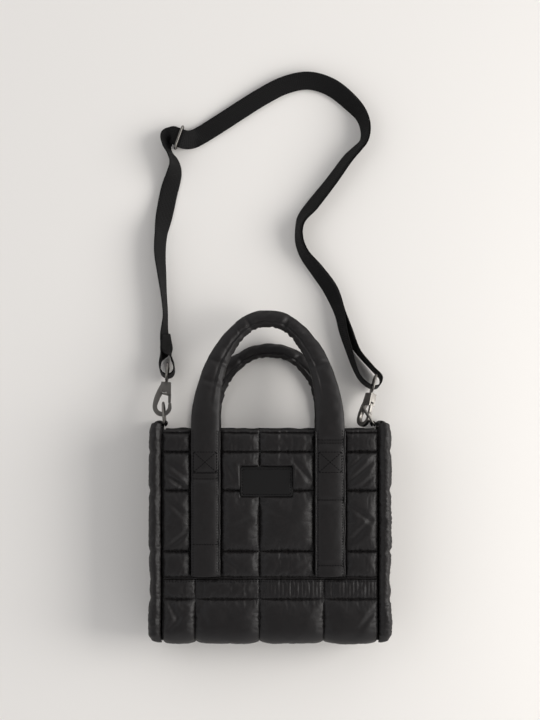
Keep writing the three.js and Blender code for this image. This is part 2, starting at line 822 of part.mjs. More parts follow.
// The slider stands on its edge across the strap. along and aside are shares of the webbing's width
// from its middle, and the heights of the two layers are shares of the slider's height.
const sliderPlace = { across: 0.06, up: 0.809 };
const upperPass = [
  { along: -0.46, aside: 0, height: 0.56 },
  { along: -0.2, aside: 0, height: 0.745 },
  { along: 0, aside: 0, height: 0.775 },
  { along: 0.2, aside: 0, height: 0.76 },
  { along: 0.45, aside: 0.05, height: 0.57 },
  { along: 0.75, aside: 0.24, height: 0.33 },
];
const lowerPass = [
  { along: 0.75, aside: 0.24, height: 0.085 },
  { along: 0.45, aside: 0.05, height: 0.2 },
  { along: 0.2, aside: 0, height: 0.325 },
  { along: 0, aside: 0, height: 0.36 },
  { along: -0.085, aside: 0, height: 0.402 },
  { along: -0.12, aside: 0, height: 0.5 },
  { along: -0.085, aside: 0, height: 0.598 },
  { along: 0, aside: 0, height: 0.64 },
  { along: 0.2, aside: 0, height: 0.6 },
  { along: 0.38, aside: 0.02, height: 0.46 },
];

function planPoint({ across, up: share }) {
  const left = claspPlace("left");
  const right = claspPlace("right");
  return new THREE.Vector3(left.x + (right.x - left.x) * across, left.y + strapReach * share, 0);
}

// Stations of a strand on the floor: alone (layer 0), or the upper (1) or lower (-1) one of a pair
function layDown(rows, layer, before, after) {
  const plan = [before, ...rows, after].map(planPoint);
  return rows.map(({ turn }, k) => {
    const along = new THREE.Vector3().subVectors(plan[k + 2], plan[k]).normalize();
    const aside = new THREE.Vector3(-along.y, along.x, 0);
    const angle = radians(turn);
    const width = aside.multiplyScalar(Math.cos(angle)).addScaledVector(up, Math.sin(angle));
    const rest = layer === 0 ? webbingThickness / 2 : webbingThickness + layerGap / 2;
    const point = plan[k + 1].clone();
    point.z = (webbingWidth / 2) * Math.sin(angle) + rest * Math.cos(angle) + floorGap;
    const off = new THREE.Vector3().crossVectors(along, width);
    point.addScaledVector(off, (layer * (webbingThickness + layerGap)) / 2);
    return { point, width };
  });
}

// Stations of a turn through an eye
function throughEye(rows, place) {
  const width = up.clone().transformDirection(place.matrixWorld);
  return rows.map(({ beside, along }) => ({
    point: place.localToWorld(new THREE.Vector3(beside, along, 0).multiplyScalar(webbingWidth)),
    width: width.clone(),
  }));
}

// Stations of a pass through the slider
function throughSlider(rows, place) {
  const middle = place.getWorldPosition(new THREE.Vector3());
  const width = new THREE.Vector3(1, 0, 0).transformDirection(place.matrixWorld);
  const forward = new THREE.Vector3(0, 1, 0).transformDirection(place.matrixWorld).negate();
  return rows.map(({ along, aside, height }) => {
    const point = middle.clone();
    point.addScaledVector(forward, along * webbingWidth).addScaledVector(width, aside * webbingWidth);
    point.z = sliderHeight * height + floorGap;
    return { point, width: width.clone() };
  });
}

// A strap end sewn flat onto the strand beside it
function sewnOn(stations) {
  return stations.map(({ point, width }, k) => {
    const other = stations[k === 0 ? 1 : k - 1].point;
    const along = new THREE.Vector3().subVectors(other, point).multiplyScalar(k === 0 ? 1 : -1);
    const off = new THREE.Vector3().crossVectors(along, width).normalize();
    const apart = webbingThickness + gap + 1.2;
    return { point: point.clone().addScaledVector(off, apart), width: width.clone() };
  });
}

// Flat webbing through stations, with one more section between each two. Where it twists, both of its
// faces, and the layer beside it, are split along the same diagonal, so that they stay apart.
function webbingLoft(stations) {
  const middle = new THREE.CatmullRomCurve3(stations.map((s) => s.point), false, "centripetal");
  const turning = new THREE.CatmullRomCurve3(stations.map((s) => s.width), false, "catmullrom", 0.5);
  const steps = (stations.length - 1) * 2;
  const rings = [];
  const order = []; // grows all along the doubled stretch, whichever way its layer runs
  for (let k = 0; k <= steps; k++) {
    const point = middle.getPoint(k / steps);
    const along = middle.getTangent(k / steps);
    const width = turning.getPoint(k / steps);
    width.addScaledVector(along, -width.dot(along)).normalize();
    const face = new THREE.Vector3().crossVectors(along, width);
    const corner = (a, b) =>
      point
        .clone()
        .addScaledVector(width, (a * webbingWidth) / 2)
        .addScaledVector(face, (b * webbingThickness) / 2);
    rings.push([corner(-1, -1), corner(1, -1), corner(1, 1), corner(-1, 1)]);
    order.push(0.7 * point.x - point.y);
  }
  return loft(rings, false, (i, j) => (j === 2) === order[i] < order[i + 1]);
}

function strap(leftClasp, rightClasp, slider) {
  const lower = [...doubled].reverse();
  const main = layDown(leftStrand, 0, { across: -0.03, up: 0.075 }, { across: 0.03, up: 0.82 });
  const stations = [
    ...sewnOn(main.slice(0, 2)).reverse(),
    ...throughEye(leftTurn, leftClasp),
    ...main,
    ...throughSlider(upperPass, slider),
    ...layDown(doubled, 1, { across: 0.125, up: 0.803 }, nearStrand[0]),
    ...layDown(nearStrand, 0, doubled.at(-1), { across: 0.945, up: 0.018 }),
    ...throughEye(rightTurn, rightClasp),
    ...layDown(farStrand, 0, doubled.at(-1), { across: 1, up: 0.05 }).reverse(),
    ...layDown(doubled, -1, { across: 0.125, up: 0.803 }, nearStrand[0]).reverse(),
    ...throughSlider(lowerPass, slider),
  ];
  piece("strap_webbing", webbingLoft(stations), webbing);
}

// A wire frame with a middle bar, its long side along x and its height along z
function strapSlider() {
  const long = (sliderLength - sliderBar) / 2;
  const high = (sliderHeight - sliderBar) / 2;
  const outline = [
    [-0.9, -1],
    [0.9, -1],
    [1, -0.85],
    [1, 0.85],
    [0.9, 1],
    [-0.9, 1],
    [-1, 0.85],
    [-1, -0.85],
  ].map(([x, z]) => new THREE.Vector3(x * long, 0, z * high));
  const frame = solid(wireLoop(outline, new THREE.Vector3(0, 1, 0), 24));
  const bar = solid(rod(sliderBar, 2 * long, 8).rotateY(Math.PI / 2));
  const place = new THREE.Group();
  const { x, y } = planPoint(sliderPlace);
  place.position.set(x, y, sliderHeight / 2 + floorGap);
  place.rotation.z = radians(90 - sliderLean);
  bag.add(place);
  piece("strap_slider", geometryOf(frame.add(bar)), nickel, place);
  return place;
}

export default bag;

frontPanel();
backPanel();
basePanel();
gusset("gusset_left", -1);
gusset("gusset_right", 1);
handles();
labelPatch();
ringAndTab("left");
ringAndTab("right");
const leftClasp = clasp("left");
const rightClasp = clasp("right");
const slider = strapSlider();
bag.updateMatrixWorld(true);
strap(leftClasp, rightClasp, slider);
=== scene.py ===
"""A small quilted nylon tote bag that lies on its back, with padded handles and a clip-on webbing strap."""

import math

import bmesh
import bpy
import numpy as np
from mathutils import Matrix, Vector
from mathutils.noise import noise


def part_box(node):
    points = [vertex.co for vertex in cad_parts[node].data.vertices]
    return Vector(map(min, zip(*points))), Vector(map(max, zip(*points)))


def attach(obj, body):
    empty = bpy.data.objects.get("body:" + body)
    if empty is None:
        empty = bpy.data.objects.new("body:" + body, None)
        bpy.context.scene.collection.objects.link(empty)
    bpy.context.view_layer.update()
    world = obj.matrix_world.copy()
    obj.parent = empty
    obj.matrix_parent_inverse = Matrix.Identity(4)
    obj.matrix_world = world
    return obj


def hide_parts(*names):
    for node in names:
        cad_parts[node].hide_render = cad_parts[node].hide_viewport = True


bl_info = {
    "name": "Quilted mini tote bag",
    "version": (1, 0, 0),
    "blender": (4, 5, 0),
    "location": "View3D > Sidebar > Tote",
    "description": "Dresses the packed solids of a quilted tote bag: cloth, stitching, webbing and metalware",
    "category": "Object",
}

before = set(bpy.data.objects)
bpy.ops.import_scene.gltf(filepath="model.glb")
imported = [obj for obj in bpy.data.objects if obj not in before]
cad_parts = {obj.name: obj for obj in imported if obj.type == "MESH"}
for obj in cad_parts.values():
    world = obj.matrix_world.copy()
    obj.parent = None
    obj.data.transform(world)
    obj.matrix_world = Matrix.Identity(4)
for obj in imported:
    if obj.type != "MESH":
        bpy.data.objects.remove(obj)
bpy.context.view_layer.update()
MM = 0.001


def size_of(node):
    """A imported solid's lowest and highest corners, in millimetres."""
    low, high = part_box(node)
    return low / MM, high / MM


PANEL_LOW, PANEL_HIGH = size_of("front_panel")
BACK_LOW, BACK_HIGH = size_of("back_panel")
BASE_LOW, BASE_HIGH = size_of("base_panel")
PATCH_LOW, PATCH_HIGH = size_of("label_patch")


# Sizes and colours


def srgb(code):
    """A hex sRGB colour as linear red, green and blue."""
    parts = [int(code[i : i + 2], 16) / 255 for i in (1, 3, 5)]
    return tuple(c / 12.92 if c <= 0.04045 else ((c + 0.055) / 1.055) ** 2.4 for c in parts)


def length(name, description, default, low=0.0, high=1000.0):
    """A size in millimetres."""
    return bpy.props.FloatProperty(name=name, description=description, default=default, min=low, max=high)


def colour(name, description, code):
    """A colour that defaults to a hex sRGB code."""
    return bpy.props.FloatVectorProperty(
        name=name, description=description, subtype="COLOR", default=srgb(code), min=0.0, max=1.0
    )


class ToteSizes(bpy.types.PropertyGroup):
    """The sizes of the sewn pieces, in millimetres."""

    cloth_step: length("Cloth step", "Spacing of the cloth's mesh", 1.5, 0.5, 6)
    front_seam: length("Front seam", "Height of the front's stitched lines over the floor", 54.5)
    front_puff: length("Front puff", "Rise of the front's padding over its stitched lines", 7.2, 0, 12)
    back_seam: length("Back seam", "Height of the back's stitched lines over the floor", 8.0)
    back_puff: length("Back puff", "Depth of the back's padding under its stitched lines", 7.6, 0, 8)
    base_puff: length("Base puff", "Rise of the base band's padding", 6.4, 0, 10)
    leg_width: length("Leg width", "Width of a handle's flat leg", 31.0, 10, 60)
    leg_spacing: length("Leg spacing", "Between the middles of a handle's two legs", 135.5)
    leg_centre: length("Leg centre", "Middle of the two legs across the bag", -2.5, -50, 50)
    stitch: length("Stitch", "Length of a stitch", 3.0, 1, 8)
    thread: length("Thread", "Thickness of the sewing thread", 0.7, 0.1, 2)
    piping: length("Piping", "Thickness of the corded edges", 2.2, 0.5, 5)
    webbing_width: length("Webbing width", "Width of the strap", 20.0, 5, 60)
    webbing_thickness: length("Webbing thickness", "Thickness of the strap", 1.5, 0.5, 5)
    webbing_rib: length("Webbing rib", "Spacing of the strap's woven ribs", 2.2, 0.5, 5)


class ToteColours(bpy.types.PropertyGroup):
    """The colours of the cloth, thread, webbing, patch, metal and floor."""

    nylon: colour("Nylon", "Cloth of the bag", "#0f0d0d")
    # Paler colour on the crests of the fine crinkles: a painted highlight that follows the crinkles' bump,
    # not the stretch over the padding
    nylon_crest_highlight: colour("Nylon, pale", "The cloth where it is stretched over padding", "#171414")
    thread: colour("Thread", "Sewing thread", "#070607")
    webbing: colour("Webbing", "Strap", "#0c0b0b")
    patch: colour("Patch", "Sewn patch", "#0d0c0c")
    nickel: colour("Nickel", "Hooks, rings and slider", "#6f6c68")
    floor: colour("Floor", "Paper under the bag", "#e5e2de")


# Building blocks


def mesh_object(name, points, faces, smooth=True):
    """A mesh object from points in millimetres."""
    mesh = bpy.data.meshes.new(name)
    mesh.from_pydata([tuple(c * MM for c in p) for p in points], [], faces)
    mesh.validate()
    work = bmesh.new()
    work.from_mesh(mesh)
    bmesh.ops.recalc_face_normals(work, faces=work.faces)
    work.to_mesh(mesh)
    work.free()
    mesh.polygons.foreach_set("use_smooth", [smooth] * len(mesh.polygons))
    obj = bpy.data.objects.new(name, mesh)
    bpy.context.collection.objects.link(obj)
    return obj


def grid_faces(rows, columns, start=0, wrap=False):
    """Quads over a grid of points, wrapped round across its columns if asked."""
    faces = []
    across = columns if wrap else columns - 1
    for i in range(rows - 1):
        for j in range(across):
            a = start + i * columns + j
            b = start + i * columns + (j + 1) % columns
            faces.append((a, b, b + columns, a + columns))
    return faces


def finish(obj, material, body="bag", stands_for=()):
    """Gives a piece its material and slot, and lets it ride with its body."""
    obj.data.materials.clear()
    obj.data.materials.append(material)
    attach(obj, body)
    if stands_for:
        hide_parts(*stands_for)
    return obj


def smoothstep(low, high, value):
    t = min(1.0, max(0.0, (value - low) / (high - low)))
    return t * t * (3 - 2 * t)


def table(rows, key, at, value):
    """Reads a table of rows at a place between two of them."""
    if value <= rows[0][key]:
        return rows[0][at]
    for a, b in zip(rows, rows[1:]):
        if value <= b[key]:
            share = (value - a[key]) / (b[key] - a[key])
            return a[at] + (b[at] - a[at]) * share
    return rows[-1][at]


# Nodes


def node(tree, kind, settings=None, inputs=None):
    """Adds a node. Inputs are values, or sockets to link from."""
    made = tree.nodes.new(kind)
    for key, value in (settings or {}).items():
        setattr(made, key, value)
    for key, value in (inputs or {}).items():
        if isinstance(value, bpy.types.NodeSocket):
            tree.links.new(value, made.inputs[key])
        else:
            made.inputs[key].default_value = value
    return made


def blank_material(name):
    material = bpy.data.materials.new(name)
    material.use_nodes = True
    material.node_tree.nodes.clear()
    return material, material.node_tree


def output(tree, shader):
    node(tree, "ShaderNodeOutputMaterial", inputs={"Surface": shader.outputs[0]})


def with_alpha(colour_value):
    return (*colour_value, 1.0)


def plain_floor(colours):
    """Matt paper: even and without gloss, so that only soft shadows show on it."""
    material, tree = blank_material("matt_backdrop_paper")
    shader = node(
        tree,
        "ShaderNodeBsdfPrincipled",
        inputs={"Base Color": with_alpha(colours.floor), "Roughness": 0.95, "Specular IOR Level": 0.1},
    )
    output(tree, shader)
    return material


def cloth_nylon(colours):
    """Nylon taffeta, woven and calendered, over wadding: dark, with broad satin lights and fine crinkles."""
    material, tree = blank_material("calendered_nylon_taffeta")
    place = node(tree, "ShaderNodeTexCoord")
    in_mm = node(
        tree,
        "ShaderNodeVectorMath",
        {"operation": "SCALE"},
        {0: place.outputs["Object"], "Scale": 1000.0},
    )
    # Soft creases about 9 mm apart, and finer crinkles about 3 mm apart
    creases = node(
        tree,
        "ShaderNodeTexNoise",
        {"noise_type": "RIDGED_MULTIFRACTAL"},
        {"Vector": in_mm.outputs[0], "Scale": 1 / 18, "Detail": 3.0, "Roughness": 0.55},
    )
    crinkles = node(
        tree,
        "ShaderNodeTexNoise",
        inputs={
            "Vector": in_mm.outputs[0],
            "Scale": 1 / 5,
            "Detail": 4.0,
            "Roughness": 0.6,
            "Distortion": 0.6,
        },
    )
    # The threads are 0.2 mm apart on the real cloth. They are drawn 1.1 mm apart so that they show.
    warp = node(
        tree,
        "ShaderNodeTexWave",
        {"bands_direction": "X"},
        {"Vector": in_mm.outputs[0], "Scale": 0.28, "Distortion": 0.3},
    )
    weft = node(
        tree,
        "ShaderNodeTexWave",
        {"bands_direction": "Y"},
        {"Vector": in_mm.outputs[0], "Scale": 0.28, "Distortion": 0.3},
    )
    weave = node(
        tree,
        "ShaderNodeMath",
        {"operation": "MULTIPLY"},
        {0: warp.outputs["Fac"], 1: weft.outputs["Fac"]},
    )
    # The crinkles' crests are painted paler than their hollows: a painted highlight keyed to the crinkle
    # bump's height
    crest_highlight_tone = node(
        tree,
        "ShaderNodeMix",
        {"data_type": "RGBA"},
        {
            "Factor": crinkles.outputs["Fac"],
            "A": with_alpha(colours.nylon),
            "B": with_alpha(colours.nylon_crest_highlight),
        },
    )
    gloss = node(
        tree,
        "ShaderNodeMapRange",
        inputs={"Value": crinkles.outputs["Fac"], "To Min": 0.46, "To Max": 0.6},
    )
    relief = node(
        tree,
        "ShaderNodeBump",
        inputs={"Height": creases.outputs["Fac"], "Strength": 0.12, "Distance": 0.0008},
    )
    fine = node(
        tree,
        "ShaderNodeBump",
        inputs={
            "Height": crinkles.outputs["Fac"],
            "Strength": 0.3,
            "Distance": 0.0005,
            "Normal": relief.outputs["Normal"],
        },
    )
    threads = node(
        tree,
        "ShaderNodeBump",
        inputs={
            "Height": weave.outputs[0],
            "Strength": 0.12,
            "Distance": 0.0002,
            "Normal": fine.outputs["Normal"],
        },
    )
    shader = node(
        tree,
        "ShaderNodeBsdfPrincipled",
        inputs={
            "Base Color": crest_highlight_tone.outputs["Result"],
            "Roughness": gloss.outputs["Result"],
            "Specular IOR Level": 0.28,
            "Sheen Weight": 0.02,
            "Sheen Roughness": 0.4,
            "Normal": threads.outputs["Normal"],
        },
    )
    output(tree, shader)
    return material


def sewing_thread(colours):
    """Bonded polyester thread, spun and waxed: a dull dark line with a slight twist in it."""
    material, tree = blank_material("bonded_polyester_thread")
    shader = node(
        tree,
        "ShaderNodeBsdfPrincipled",
        inputs={"Base Color": with_alpha(colours.thread), "Roughness": 0.85, "Specular IOR Level": 0.08},
    )
    output(tree, shader)
    return material


def ribbed_webbing(colours, rib):
    """Nylon webbing, woven in ribs across its width: matt, with a grain that runs along the strap."""
    material, tree = blank_material("woven_nylon_webbing")
    place = node(tree, "ShaderNodeUVMap", {"uv_map": "along_and_across_mm"})
    parts = node(tree, "ShaderNodeSeparateXYZ", inputs={0: place.outputs["UV"]})
    # Ribs across the strap, and warp threads along it at a third of that spacing
    ribs = node(
        tree,
        "ShaderNodeMath",
        {"operation": "SINE"},
        {
            0: node(
                tree,
                "ShaderNodeMath",
                {"operation": "MULTIPLY"},
                {0: parts.outputs["X"], 1: 2 * math.pi / rib},
            ).outputs[0]
        },
    )
    warp = node(
        tree,
        "ShaderNodeMath",
        {"operation": "SINE"},
        {
            0: node(
                tree,
                "ShaderNodeMath",
                {"operation": "MULTIPLY"},
                {0: parts.outputs["Y"], 1: 2 * math.pi / 1.7},
            ).outputs[0]
        },
    )
    height = node(
        tree,
        "ShaderNodeMath",
        {"operation": "MULTIPLY_ADD"},
        {0: ribs.outputs[0], 1: 0.6, 2: warp.outputs[0]},
    )
    bump = node(
        tree,
        "ShaderNodeBump",
        inputs={"Height": height.outputs[0], "Strength": 0.5, "Distance": 0.00035},
    )
    fuzz = node(
        tree,
        "ShaderNodeTexNoise",
        inputs={"Vector": place.outputs["UV"], "Scale": 0.5, "Detail": 4.0},
    )
    gloss = node(
        tree,
        "ShaderNodeMapRange",
        inputs={"Value": fuzz.outputs["Fac"], "To Min": 0.6, "To Max": 0.8},
    )
    shader = node(
        tree,
        "ShaderNodeBsdfPrincipled",
        inputs={
            "Base Color": with_alpha(colours.webbing),
            "Roughness": gloss.outputs["Result"],
            "Specular IOR Level": 0.16,
            "Normal": bump.outputs["Normal"],
        },
    )
    output(tree, shader)
    return material


def patch_leather(colours):
    """Coated split leather, pressed smooth: matt black with a fine, even grain."""
    material, tree = blank_material("coated_split_leather")
    place = node(tree, "ShaderNodeTexCoord")
    # Grain cells about 1.2 mm across
    grain = node(tree, "ShaderNodeTexVoronoi", inputs={"Vector": place.outputs["Object"], "Scale": 830.0})
    bump = node(
        tree,
        "ShaderNodeBump",
        inputs={"Height": grain.outputs["Distance"], "Strength": 0.25, "Distance": 0.0002},
    )
    shader = node(
        tree,
        "ShaderNodeBsdfPrincipled",
        inputs={
            "Base Color": with_alpha(colours.patch),
            "Roughness": 0.6,
            "Specular IOR Level": 0.22,
            "Normal": bump.outputs["Normal"],
        },
    )
    output(tree, shader)
    return material


def plated_zinc(colours):
    """Die-cast zinc and bent wire under tumbled grey nickel plate: a soft metal gleam with faint marks."""
    material, tree = blank_material("tumbled_nickel_plate")
    place = node(tree, "ShaderNodeTexCoord")
    marks = node(
        tree,
        "ShaderNodeTexNoise",
        inputs={"Vector": place.outputs["Object"], "Scale": 400.0, "Detail": 5.0, "Roughness": 0.7},
    )
    gloss = node(
        tree,
        "ShaderNodeMapRange",
        inputs={"Value": marks.outputs["Fac"], "To Min": 0.32, "To Max": 0.48},
    )
    bump = node(
        tree,
        "ShaderNodeBump",
        inputs={"Height": marks.outputs["Fac"], "Strength": 0.15, "Distance": 0.0001},
    )
    shader = node(
        tree,
        "ShaderNodeBsdfPrincipled",
        inputs={
            "Base Color": with_alpha(colours.nickel),
            "Metallic": 1.0,
            "Roughness": gloss.outputs["Result"],
            "Normal": bump.outputs["Normal"],
        },
    )
    output(tree, shader)
    return material


MATERIALS = {}


def materials(scene):
    """The finishes, made once from the scene's colours."""
    if not MATERIALS:
        colours = scene.tote_colours
        MATERIALS.update(
            nylon=cloth_nylon(colours),
            thread=sewing_thread(colours),
            webbing=ribbed_webbing(colours, scene.tote_sizes.webbing_rib),
            patch=patch_leather(colours),
            metal=plated_zinc(colours),
            floor=plain_floor(colours),
        )
    return MATERIALS


# Padded cloth


def inflate(obj, pins, growth, pressure, frames=14, reach=9.0):
    """Blows cloth up between its stitched lines and keeps the shape. pins holds 1 for each sewn point."""
    group = obj.vertex_groups.new(name="sewn")
    for index, weight in enumerate(pins):
        if weight > 0:
            group.add([index], weight, "REPLACE")
    modifier = obj.modifiers.new("cloth", "CLOTH")
    cloth = modifier.settings
    cloth.quality = 5
    cloth.mass = 0.2
    cloth.air_damping = 2.0
    cloth.tension_stiffness = 12
    cloth.compression_stiffness = 12
    cloth.shear_stiffness = 4
    cloth.bending_stiffness = 0.6
    cloth.vertex_group_mass = "sewn"
    cloth.shrink_min = -growth
    cloth.use_pressure = True
    cloth.uniform_pressure_force = pressure
    cloth.effector_weights.gravity = 0
    modifier.collision_settings.use_collision = False
    modifier.point_cache.frame_end = frames
    scene = bpy.context.scene
    for k in range(1, frames + 1):
        scene.frame_set(k)
    held = obj.evaluated_get(bpy.context.evaluated_depsgraph_get()).data
    blown = np.empty(len(held.vertices) * 3)
    held.vertices.foreach_get("co", blown)
    start = np.empty_like(blown)
    obj.data.vertices.foreach_get("co", start)
    move = (blown - start).reshape(-1, 3)
    far = np.linalg.norm(move, axis=1, keepdims=True)
    share = far / (reach * MM)
    move *= np.tanh(share) / np.maximum(share, 1e-9)
    obj.modifiers.remove(modifier)
    obj.vertex_groups.remove(group)
    obj.data.vertices.foreach_set("co", (start.reshape(-1, 3) + move).ravel())
    obj.data.update()
    scene.frame_set(1)
    return obj


def stations(low, high, step):
    """Evenly spaced places from low to high, about a step apart."""
    count = max(2, round((high - low) / step) + 1)
    return [low + (high - low) * k / (count - 1) for k in range(count)]


def with_seams(places, seams):
    """Moves the nearest place onto each seam, so that a row of points lies along it."""
    places = list(places)
    for seam in seams:
        nearest = min(range(len(places)), key=lambda k: abs(places[k] - seam))
        places[nearest] = seam
    return sorted(places)


def near(value, seams):
    """How far a value is from the nearest seam."""
    return min(abs(value - seam) for seam in seams)


def crumple(point, amount, scale):
    """A small push along each axis, from smooth noise with humps about scale apart."""
    p = Vector(point) / scale
    aside = noise(p + Vector((17.0, 5.0, 3.0)))
    upward = noise(p + Vector((4.0, 31.0, 9.0)))
    return Vector((noise(p), aside, upward)) * amount


def fine_stations(low, high, step, seams):
    """Places a step apart, closer together beside each seam, so that the seam is a crisp valley."""
    places = [low, high]
    for seam in seams:
        places += [seam + k for k in (-2.6, -1.5, -0.7, 0.0, 0.7, 1.5, 2.6) if low < seam + k < high]
    filled = sorted(places)
    for place in stations(low, high, step):
        if min(abs(place - other) for other in filled) > 0.55 * step:
            places.append(place)
    return sorted(set(places))


def cushion(value, seams, edge=0.5):
    """How far a cell has risen between its seams, from 0 on a seam to 1 at its middle."""
    for low, high in zip(seams, seams[1:]):
        if low <= value <= high:
            u = abs(2 * (value - low) / (high - low) - 1)
            return (1 - u**3.2) ** edge, high - low
    return 0.0, 1.0


def gathers(along, off, seed, pitch=3.6, spread=4.5):
    """Little ridges square to a seam, strongest beside it, from 0 to 1."""
    wave = noise(Vector((along / pitch, off / 16.0, seed)))
    wave += 0.5 * noise(Vector((along / 2.1, off / 9.0, seed + 7)))
    return (0.35 - abs(wave)) * math.exp(-off / spread)


def crease(x, y, folds):
    """Pulls along straight folds: each is a valley with a ridge on either side."""
    depth = 0.0
    for fold in folds:
        a, b = Vector(fold["start"]), Vector(fold["end"])
        run = b - a
        share = max(0.0, min(1.0, (Vector((x, y)) - a).dot(run) / run.length_squared))
        off = (Vector((x, y)) - a.lerp(b, share)).length / fold["width"]
        fade = math.sin(math.pi * (0.12 + 0.76 * share)) if 0 < share < 1 else 0.37
        depth += fold["depth"] * fade * (1.6 * off * off - 1) * math.exp(-off * off)
    return depth


PANEL_COLUMNS = [-117.2, -86.0, -54.0, -11.5, 49.0, 81.0, 117.2]
PANEL_ROWS = [-43.5, -14.8, 51.3, 93.2, 114.0, 118.0]
# Pulled folds of the front, in millimetres on the plan
PANEL_FOLDS = [
    {"start": (-116.0, 71.0), "end": (-88.0, 51.5), "depth": 2.6, "width": 4.0},
    {"start": (-115.0, 86.0), "end": (-90.0, 66.0), "depth": 1.1, "width": 5.0},
    {"start": (-113.0, -12.0), "end": (-89.0, 7.0), "depth": 1.4, "width": 4.5},
    {"start": (-114.0, 44.0), "end": (-92.0, 24.0), "depth": 1.0, "width": 5.0},
    {"start": (84.0, 58.0), "end": (114.0, 86.0), "depth": 1.9, "width": 4.5},
    {"start": (84.0, 73.0), "end": (104.0, 91.0), "depth": 1.4, "width": 4.0},
    {"start": (96.0, 54.0), "end": (115.0, 70.0), "depth": 1.1, "width": 4.0},
    {"start": (84.0, -8.0), "end": (113.0, 24.0), "depth": 1.2, "width": 6.0},
    {"start": (88.0, 34.0), "end": (115.0, 14.0), "depth": 1.0, "width": 5.0},
    {"start": (-50.0, 88.0), "end": (-36.0, 60.0), "depth": 1.2, "width": 5.0},
    {"start": (26.0, 84.0), "end": (47.0, 58.0), "depth": 1.4, "width": 5.0},
    {"start": (-8.0, 36.0), "end": (20.0, 22.0), "depth": 0.7, "width": 6.0},
    {"start": (-50.0, 8.0), "end": (-22.0, 20.0), "depth": 0.6, "width": 6.0},
    {"start": (-52.0, -20.0), "end": (-30.0, -38.0), "depth": 0.7, "width": 5.0},
    {"start": (16.0, -40.0), "end": (44.0, -24.0), "depth": 0.7, "width": 5.0},
]


def quilted_panel(name, sizes, seam_z, side, puff, step, folds=()):
    """One face of the bag: cloth domed between its stitched lines. side is 1 for the front."""
    columns = fine_stations(-117.2, 117.2, step, PANEL_COLUMNS[1:-1])
    rows = fine_stations(-43.5, 118.0, step, PANEL_ROWS[1:-1])
    points, pins = [], []
    for y in rows:
        high_y, tall = cushion(y, PANEL_ROWS)
        off_y = near(y, PANEL_ROWS)
        for x in columns:
            high_x, wide = cushion(x, PANEL_COLUMNS, 0.55)
            off_x = near(x, PANEL_COLUMNS)
            off = min(off_x, off_y)
            under_leg = min(abs(x - sizes.leg_centre - k * sizes.leg_spacing / 2) for k in (-1, 1))
            covered = under_leg < sizes.leg_width / 2 - 0.5
            on_patch = (
                side > 0
                and PATCH_LOW.x - 1 < x < PATCH_HIGH.x + 1
                and PATCH_LOW.y - 1 < y < PATCH_HIGH.y + 1
            )
            full = min(1.0, min(wide, tall) / 34.0) ** 0.8
            rise = puff * full * high_x * high_y
            loose = min(1.0, off / 5.0)
            rise += 3.4 * gathers(x, off_y, 3.0) * min(1.0, off_x / 4.0) * min(1.0, off_y / 1.5)
            rise += 1.6 * gathers(y, off_x, 11.0, pitch=5.0) * min(1.0, off_y / 4.0) * min(1.0, off_x / 1.5)
            rise += crease(x, y, folds) * loose
            rise += crumple((x, y, 40.0 * side), 0.7, 17.0).z * loose
            rise = min(puff, max(0.0, rise))
            if covered:
                rise = 0.0
            if on_patch:
                rise = PATCH_LOW.z - seam_z - 0.4
            wave = smoothstep(108.0, 118.0, y) * (1.3 * noise(Vector((x / 13.0, 4.0 * side, 2.0))) - 0.5)
            points.append((x, y + wave, seam_z + side * rise))
            pins.append(1.0 if off < 0.4 or covered or on_patch or abs(x) > 116.5 else 0.0)
    obj = mesh_object(name, points, grid_faces(len(rows), len(columns)))
    return obj, pins


def face_outwards(obj, outwards):
    """Turns an open sheet so that its faces look along a direction at its middle."""
    mesh = obj.data
    total = Vector()
    for polygon in mesh.polygons:
        total += polygon.normal * polygon.area
    if total.dot(Vector(outwards)) < 0:
        mesh.flip_normals()


def thicken(obj, thickness, levels=1):
    """Gives blown cloth its wadding's thickness on the inner side, and smooths it."""
    wadding = obj.modifiers.new("wadding", "SOLIDIFY")
    wadding.thickness = thickness * MM
    wadding.offset = -1.0
    if levels:
        smooth = obj.modifiers.new("smooth", "SUBSURF")
        smooth.levels = levels
        smooth.render_levels = levels


def refine(obj):
    """Subdivides a sheet once for good, so that finer folds can be pushed into it."""
    finer = obj.modifiers.new("finer", "SUBSURF")
    finer.levels = 1
    graph = bpy.context.evaluated_depsgraph_get()
    mesh = bpy.data.meshes.new_from_object(obj.evaluated_get(graph))
    obj.modifiers.remove(finer)
    old = obj.data
    obj.data = mesh
    bpy.data.meshes.remove(old)
    mesh.polygons.foreach_set("use_smooth", [True] * len(mesh.polygons))


def pucker(obj, columns, rows, skip, lowest):
    """Draws cloth into little pits and folds beside its stitched lines. skip says where it is covered."""
    for vertex in obj.data.vertices:
        x, y, z = (c / MM for c in vertex.co)
        if z < lowest or skip(x, y):
            continue
        off_x, off_y = near(x, columns), near(y, rows)
        rise = 0.0
        for off, along, seed in ((off_y, x, 2.0), (off_x, y, 9.0)):
            if off < 7.0:
                strength = 1.0 if seed < 5 else 0.6
                fine = noise(Vector((along / 1.55, off / 7.0, seed)))
                broad = noise(Vector((along / 3.4, off / 12.0, seed + 4)))
                shape = min(1.0, off / 0.9)
                fine_lift = 0.95 * fine * math.exp(-off / 1.7)
                broad_lift = broad * math.exp(-off / 4.0)
                rise += strength * shape * (fine_lift + broad_lift)
        vertex.co.z += rise * MM


